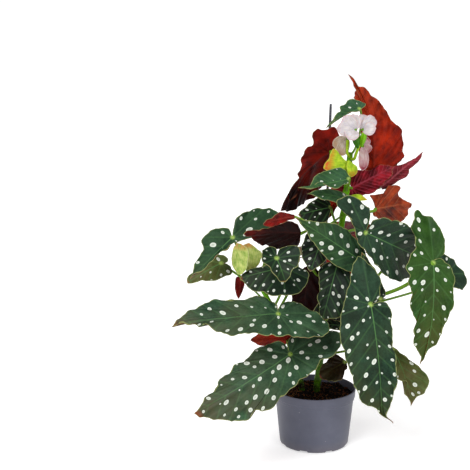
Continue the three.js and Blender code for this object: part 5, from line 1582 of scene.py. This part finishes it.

# %% [markdown]
# ### Which leaf looks how
# Big old leaves are dark and flat, leaves that face the light get a fresher green that is partly painted
# light, and the lowest are olive. Leaves in half shade get a darker copy of their finish, painted shade,
# and those deep inside the plant get a nearly black one, painted deep shade. Red leaves are young ones
# seen from below. Each look also says how wavy and quilted the blade is, and how its tip hooks and curls.

# %% Leaf looks
TOPS = {
    "dark": spotted_top("waxy blade, blue green", "0b1e12", "203a28", "2a2f16"),
    # Painted half shade: a darker copy of the blue-green top for leaves that sit in half shade.
    "painted_half_shade": spotted_top("waxy blade, half shaded", "08170d", "17291b", "1a2412", spots=SMALL_SPOTS),
    # The fresh green is partly a younger leaf's colour and partly painted light on leaves that face the
    # light.
    "fresh": spotted_top("waxy blade, fresh green", "122a18", "29462c", "2a4020"),
    "vivid": spotted_top("waxy blade, vivid green", "123208", "274816", "3a3c16"),
    "olive": spotted_top("waxy blade, olive", "303c12", "4c562a", "54482a", spots=(14, 1.0, 3.0)),
    "aged": spotted_top("waxy blade, ageing", "1c3423", "324e35", "46432f", rib="4d7244"),
    "young": spotted_top("young blade, green", "1a3521", "33523a", "335228", spots=SMALL_SPOTS),
    # Painted deep shade: a nearly black copy of the top for the leaves deep inside the plant.
    "shade": spotted_top("waxy blade, deep shade", "08110b", "111d14", "121609", spots=SMALL_SPOTS),
    "dry": spotted_top(
        "dry blade, brown", "0e0a06", "30220f", "2c2a10", margin="4a3820", spots=None, rib="3c3a18"
    ),
}
UNDERS = {
    "deep": red_underside("blade underside, deep red", "2a0404", "84140f", "7a2a22"),
    "scarlet": red_underside(
        "blade underside, scarlet", "520200", "942004", "7a1e0c",
        glow=0.15, crease_shade="3c0401", far="922c12", far_from=0.45,
    ),
    "rust": red_underside(
        "blade underside, rust", "581709", "a8431f", "b0603c", glow=0.15, crease_shade="380a05"
    ),
    "crimson": red_underside("blade underside, crimson", "48050a", "941825", "a43c4c", crease_shade="1c0208"),
    "maroon": red_underside(
        "blade underside, maroon", "3a0705", "80150a", "701c12", far="160403", far_from=0.35
    ),
    # Painted deep shade: a nearly black copy of the underside for leaves deep inside the plant.
    "shade": red_underside("blade underside, deep shade", "0a0202", "1e0705", "260a06"),
    # Painted half shade: nearly black near the stalk, deep in the plant, and dark red towards the tip.
    "half_shade": red_underside(
        "blade underside, half shaded", "0a0202", "1c0604", "2c0e0a", far="4a0a05", far_from=0.5
    ),
    "rose": red_underside(
        "blade underside, rose red", "500c12", "8c2832", "a44a54", glow=0.1, crease_shade="30060c"
    ),
    "dry": spotted_top(
        "dry blade underside, brown", "14100a", "382a18", "302a14", margin="4a3820", spots=None
    ),
}
RIM = leaf_margin()
STALK_GREEN = green_stem("green leaf stalk", "5c821c", "4a2c1a", 170, "7c8a50")
LOOKS = {
    "leaf_front_hanging": {"top": "dark", "hook": -15, "curl": 4},
    "leaf_right_hanging": {"top": "vivid", "hook": 5, "curl": 5, "stalk": 2.7},
    "leaf_far_right": {"top": "dark"},
    "leaf_upper_right": {"top": "dark", "quilt": 0.9},
    "leaf_small_top": {"top": "young"},
    "leaf_narrow_top": {"top": "young"},
    "leaf_centre": {"top": "fresh"},
    "leaf_heart": {"top": "painted_half_shade", "vein_step": 24},
    "leaf_under_heart": {"top": "painted_half_shade"},
    "leaf_inner_hanging": {"top": "painted_half_shade"},
    "leaf_left_upper": {"top": "fresh", "under": "maroon"},
    "leaf_left_long": {"top": "aged", "quilt": 0.9},
    "leaf_left_low": {"top": "aged", "quilt": 0.9},
    "leaf_right_low": {"top": "olive", "ripple": 4.5, "curl": 5, "hook": -9},
    "leaf_inner_dark": {"top": "shade", "under": "shade"},
    "leaf_inner_low": {"top": "shade", "under": "shade"},
    "leaf_inner_bottom": {"top": "shade", "under": "shade"},
    "leaf_inner_right": {"top": "shade", "under": "shade"},
    "leaf_behind_centre": {"top": "shade", "under": "shade"},
    "leaf_red_tall": {"under": "scarlet", "quilt": 1.5, "rib": 1.6, "vein_step": 19, "ripple": 4},
    "leaf_red_pointed": {"under": "rose", "quilt": 1.6, "ripple": 4},
    "leaf_red_crinkled": {"under": "crimson", "quilt": 4.2, "ripple": 9, "vein_step": 12, "bays": 2.5},
    "leaf_red_fan": {"under": "rust", "quilt": 2.2, "ripple": 4, "vein_step": 15},
    "leaf_maroon_hanging": {"under": "maroon", "quilt": 1.4, "ripple": 4},
    "leaf_topmost": {"top": "young"},
    "leaf_left_red_fold": {"under": "deep", "ripple": 3},
    "leaf_left_maroon": {"under": "half_shade"},
    "leaf_inner_red": {"under": "shade", "ripple": 5, "quilt": 2},
    "leaf_left_red_low": {"under": "scarlet", "ripple": 4},
    "leaf_left_under": {"top": "olive"},
    "leaf_small_red": {"under": "deep"},
    "leaf_small_orange": {"under": "scarlet", "ripple": 4},
    "leaf_withered": {"top": "dry", "under": "dry", "ripple": 9, "quilt": 3, "vein_step": 14, "bays": 4},
}
RED_LEAVES = (
    "leaf_red_tall", "leaf_red_pointed", "leaf_red_crinkled", "leaf_red_fan", "leaf_maroon_hanging",
    "leaf_left_red_fold", "leaf_left_maroon", "leaf_inner_red", "leaf_left_red_low", "leaf_small_red",
    "leaf_small_orange",
)
LEAF_SEED = 700


def leaf_slot(name):
    """The record's finish for a leaf."""
    if name == "leaf_withered":
        return "withered_leaf"
    return "leaf_red" if name in RED_LEAVES else "leaf_spotted"


def build_leaf(name, seed):
    """A whole leaf: the blade and its stalk."""
    leaf = LEAVES[name]
    look = LOOKS.get(name, {})
    corners, faces, kinds, maps = join_organs([blade_part(leaf, look, seed), stalk_part(leaf, look)])
    finishes = [TOPS[look.get("top", "dark")], UNDERS[look.get("under", "deep")], RIM, STALK_GREEN]
    blade_name = name.replace("leaf_", "blade_")
    return build(blade_name, name, leaf_slot(name), corners, faces, finishes, kinds, maps)


leaf_pieces = [build_leaf(name, LEAF_SEED + i) for i, name in enumerate(LEAVES)]
leaf_faces = sum(len(piece.data.polygons) for piece in leaf_pieces)
print("leaves:", len(leaf_pieces), "with", leaf_faces, "faces")

# %% [markdown]
# ## Bracts and stipules
# Every new leaf and flower comes out of a pair of thin papery sheaths. Those at the top are lime green,
# going orange at their ends, and the pair round the left shoot is pale green with an orange flush. They
# are blades like the leaves, only smaller, blunter and without a stalk, so the same mesh code makes them.

# %% Papery sheaths
BRACTS = {
    "bract_lime_left": {
        "at": (44, -6, 402), "tip": (6, -21, 408), "face": (0, -1, 0.05), "width": 32, "lobe": 6,
        "hand": -1, "droop": 24, "outline": "lime",
    },
    "bract_lime_top": {
        "at": (42, -12, 418), "tip": (48, -8, 394), "face": (0.1, -1, 0.1), "width": 15, "lobe": 1,
        "droop": 24, "outline": "lime_low",
    },
    "stipule_right": {
        "at": (46, -3, 365), "tip": (70, -13, 362), "face": (0, -0.7, 0.7), "width": 13, "droop": 30,
        "outline": "bract",
    },
    "stipule_left_outer": {
        "at": (-110, -71, 267), "tip": (-115, -76, 312), "face": (-0.5, -0.85, 0.1), "width": 27,
        "lobe": 1, "droop": -30, "outline": "stipule",
    },
    "stipule_left_inner": {
        "at": (-99, -62, 272), "tip": (-98, -64, 310), "face": (0.2, -0.95, 0.1), "width": 31, "lobe": 1,
        "droop": -30, "outline": "sheath",
    },
}
SHEATH_LOOK = {"bays": 1.2, "ripple": 2.6, "vein_step": 12, "quilt": 0.7, "rib": 0.3, "thickness": 0.7}
SHEATH_SEED = 900


def papery(name, body, light, flush, flush_from, rim, gloss=0.5):
    """A thin soft finish with fine streaks along the blade. It flushes in patches towards the tip."""
    made, tree = new_material(name)
    plane, to_edge, along, _ = leaf_inputs(tree)
    patch = noise(tree, plane, 9, 5.0, 0.6)
    fibres = add(tree, "Mapping", {"Vector": plane, "Scale": (90.0, 900.0, 1.0)})
    streak = add(tree, "TexNoise", {"Vector": fibres, "Scale": 1.0, "Detail": 4.0})
    tone = add(tree, "Math", {0: streak, 1: patch}, operation="ADD")
    tone = ramp(tree, tone, 0.8, 1.2)
    skin = blend(tree, tone, colour(body), colour(light))
    late = ramp(tree, along, flush_from, flush_from + 0.3)
    blotch = ramp(tree, patch, 0.34, 0.52)
    skin = blend(tree, times(tree, late, blotch), skin, colour(flush))
    edge = ramp(tree, to_edge, 1.6 * MM, 0.4 * MM, high=0.7)
    skin = blend(tree, edge, skin, colour(rim))
    bump = add(tree, "Bump", {"Height": streak, "Strength": 0.4, "Distance": 0.3 * MM})
    rough = ramp(tree, patch, low=gloss - 0.1, high=gloss + 0.12)
    finish_material(
        tree,
        {
            "Base Color": skin,
            "Roughness": rough,
            "Normal": bump,
            "Specular IOR Level": 0.2,
            "Subsurface Weight": 0.3,
            "Subsurface Radius": (1.0, 0.8, 0.4),
            "Subsurface Scale": 1.5 * MM,
        },
    )
    return made


def soft_blade(blade, look, seed):
    """A thin blade without a stalk, of one finish all over."""
    corners, faces, kinds, maps = blade_part({"lobe": 1, **blade}, look, seed)
    return corners, faces, [TOP] * len(kinds), maps


LIME = papery("lime green sheath", "6e9606", "a8bc22", "b04c10", 0.58, "aab43c")
PALE_SHEATH = papery("pale green sheath", "6c8c30", "b0b86c", "bc400c", 0.74, "a8ac78")
for i, (bract_name, bract) in enumerate(BRACTS.items()):
    skin = PALE_SHEATH if "stipule_left" in bract_name else LIME
    corners, faces, kinds, maps = soft_blade(bract, SHEATH_LOOK, SHEATH_SEED + i)
    build("sheath_" + bract_name, bract_name, "bract", corners, faces, [skin], kinds, maps)
print("sheaths:", len(BRACTS))

# %% [markdown]
# ## The flowers
# Four flowers stand at the top on a forked green stalk. Begonia flowers have no separate petals and
# sepals, only a few broad tepals, white with a pink edge here, and below the open ones sits a green ovary
# with three wings. Each tepal is a small cupped blade. The lower flowers are going over, so they are
# beige and pink.

# %% Tepals, ovaries and their stalk
FLOWERS = {
    "flower_upper_left": {
        "hub": (49, -30, 462), "tips": [(22, -38, 465), (31, -36, 481), (44, -30, 484), (37, -43, 451)],
        "width": 21,
    },
    "flower_upper_right": {
        "hub": (59, -28, 462), "tips": [(62, -20, 484), (76, -25, 480), (76, -38, 465)], "width": 19,
    },
    "flower_lower_left": {"hub": (41, -1, 448), "tips": [(20, -3, 437), (29, -4, 423)], "width": 18},
    "flower_lower_right": {
        "hub": (62, -8, 438), "tips": [(70, -6, 450), (74, -8, 430), (63, -9, 402)], "width": 15,
    },
}
TEPAL_LOOK = {
    "bays": 0.6, "ripple": 2.4, "vein_step": 9, "quilt": 0.5, "rib": 0.2, "thickness": 0.8, "curl": -2,
}
FLOWER_SEED = 950
FLOWER_STALKS = (
    [(46, 4, 420), (50, -6, 419), (52, -16, 428), (54, -25, 438)],
    [(54, -25, 438), (53, -27, 448), (51, -29, 458)],
    [(54, -25, 438), (57, -26, 448), (60, -28, 458)],
    [(46, 4, 420), (41, -6, 428), (41, -4, 446)],
)
OVARIES = (((53, -27, 436), (49, -30, 460), 6.4), ((57.5, -27, 438), (62.5, -29, 460), 5.4))
TEPAL_SKINS = {
    "upper": papery("white tepal", "a29a9e", "bcb6b6", "a88e90", 0.75, "b8989c", gloss=0.45),
    "lower_left": papery("beige tepal", "8e7c66", "b0a294", "a08062", 0.5, "b8a89c", gloss=0.45),
    "lower_right": papery("pink tepal", "9a7074", "b4a09e", "7e2c38", 0.55, "b8989a", gloss=0.45),
}


POD_RINGS = 17
POD_SIDES = 30


def pod(low, high, radius, wings):
    """A closed pod between two points. Wings of 0 make a round bud, more makes the three-winged ovary."""
    line = np.linspace(low, high, POD_RINGS)
    t = np.linspace(0, 1, POD_RINGS)
    radii = radius * (0.14 + 0.86 * np.sin(math.pi * t**1.15) ** 0.7)
    corners, faces, places = tube(line, radii, POD_SIDES)
    turns = np.tile(np.arange(POD_SIDES), POD_RINGS) * 2 * math.pi / POD_SIDES
    middle = np.repeat(line, POD_SIDES, axis=0)
    shape = 1 - wings + wings * np.abs(np.cos(1.5 * turns)) ** 1.6
    return middle + (corners - middle) * shape[:, None], faces, places


def build_flower(name, flower, seed):
    """A flower: its tepals and the small knot where they meet."""
    parts = []
    hub = np.array(flower["hub"], float)
    opening = unit(np.mean(flower["tips"], axis=0) - hub)
    for i, tip in enumerate(flower["tips"]):
        tepal = {
            "at": flower["hub"], "tip": tip, "face": (0, -1, 0) + 0.4 * opening, "width": flower["width"],
            "droop": 40, "outline": "tepal",
        }
        parts.append(soft_blade(tepal, TEPAL_LOOK, seed + i))
    corners, faces, places = pod(hub - 2.2 * opening, hub + 2.2 * opening, 2.2, 0)
    maps = {key: np.zeros((len(corners), 2)) for key in BLADE_MAPS}
    maps["leaf_plane"] = places * MM
    parts.append((corners, faces, [1] * len(faces), maps))
    corners, faces, kinds, maps = join_organs(parts)
    side = name.replace("flower_", "")
    skin = TEPAL_SKINS["upper" if "upper" in side else side]
    return build("tepals_" + side, name, "tepal", corners, faces, [skin, STALK_GREEN], kinds, maps)


def build_flower_stalk():
    """The forked stalk with its ovaries."""
    parts = []
    for route in FLOWER_STALKS:
        line = even(spline(route, 12), 24)
        corners, faces, places = tube(line, np.full(24, 2.1), 14)
        parts.append((corners, faces, 0, places))
    for kind, (low, high, radius) in enumerate(OVARIES, 1):
        corners, faces, places = pod(np.array(low), np.array(high), radius, 0.4)
        parts.append((corners, faces, kind, places))
    corners, faces, kinds, _ = join(parts)
    skins = [
        green_stem("green flower stalk", "88a81a", "88a81a", 170, "a8b84c"),
        green_stem("dark green ovary", "2c6008", "2c6008", 170, "6a8c30"),
        green_stem("fresh green ovary", "60940e", "60940e", 170, "8ca83c"),
    ]
    return build("stalk_of_flowers", "flower_stalk", "cane", corners, faces, skins, kinds)


for i, (flower_name, flower) in enumerate(FLOWERS.items()):
    build_flower(flower_name, flower, FLOWER_SEED + 10 * i)
build_flower_stalk()
print("flowers:", len(FLOWERS))

# %% [markdown]
# ## The last update
# The view layer is brought up to date once more.

bpy.context.view_layer.update()
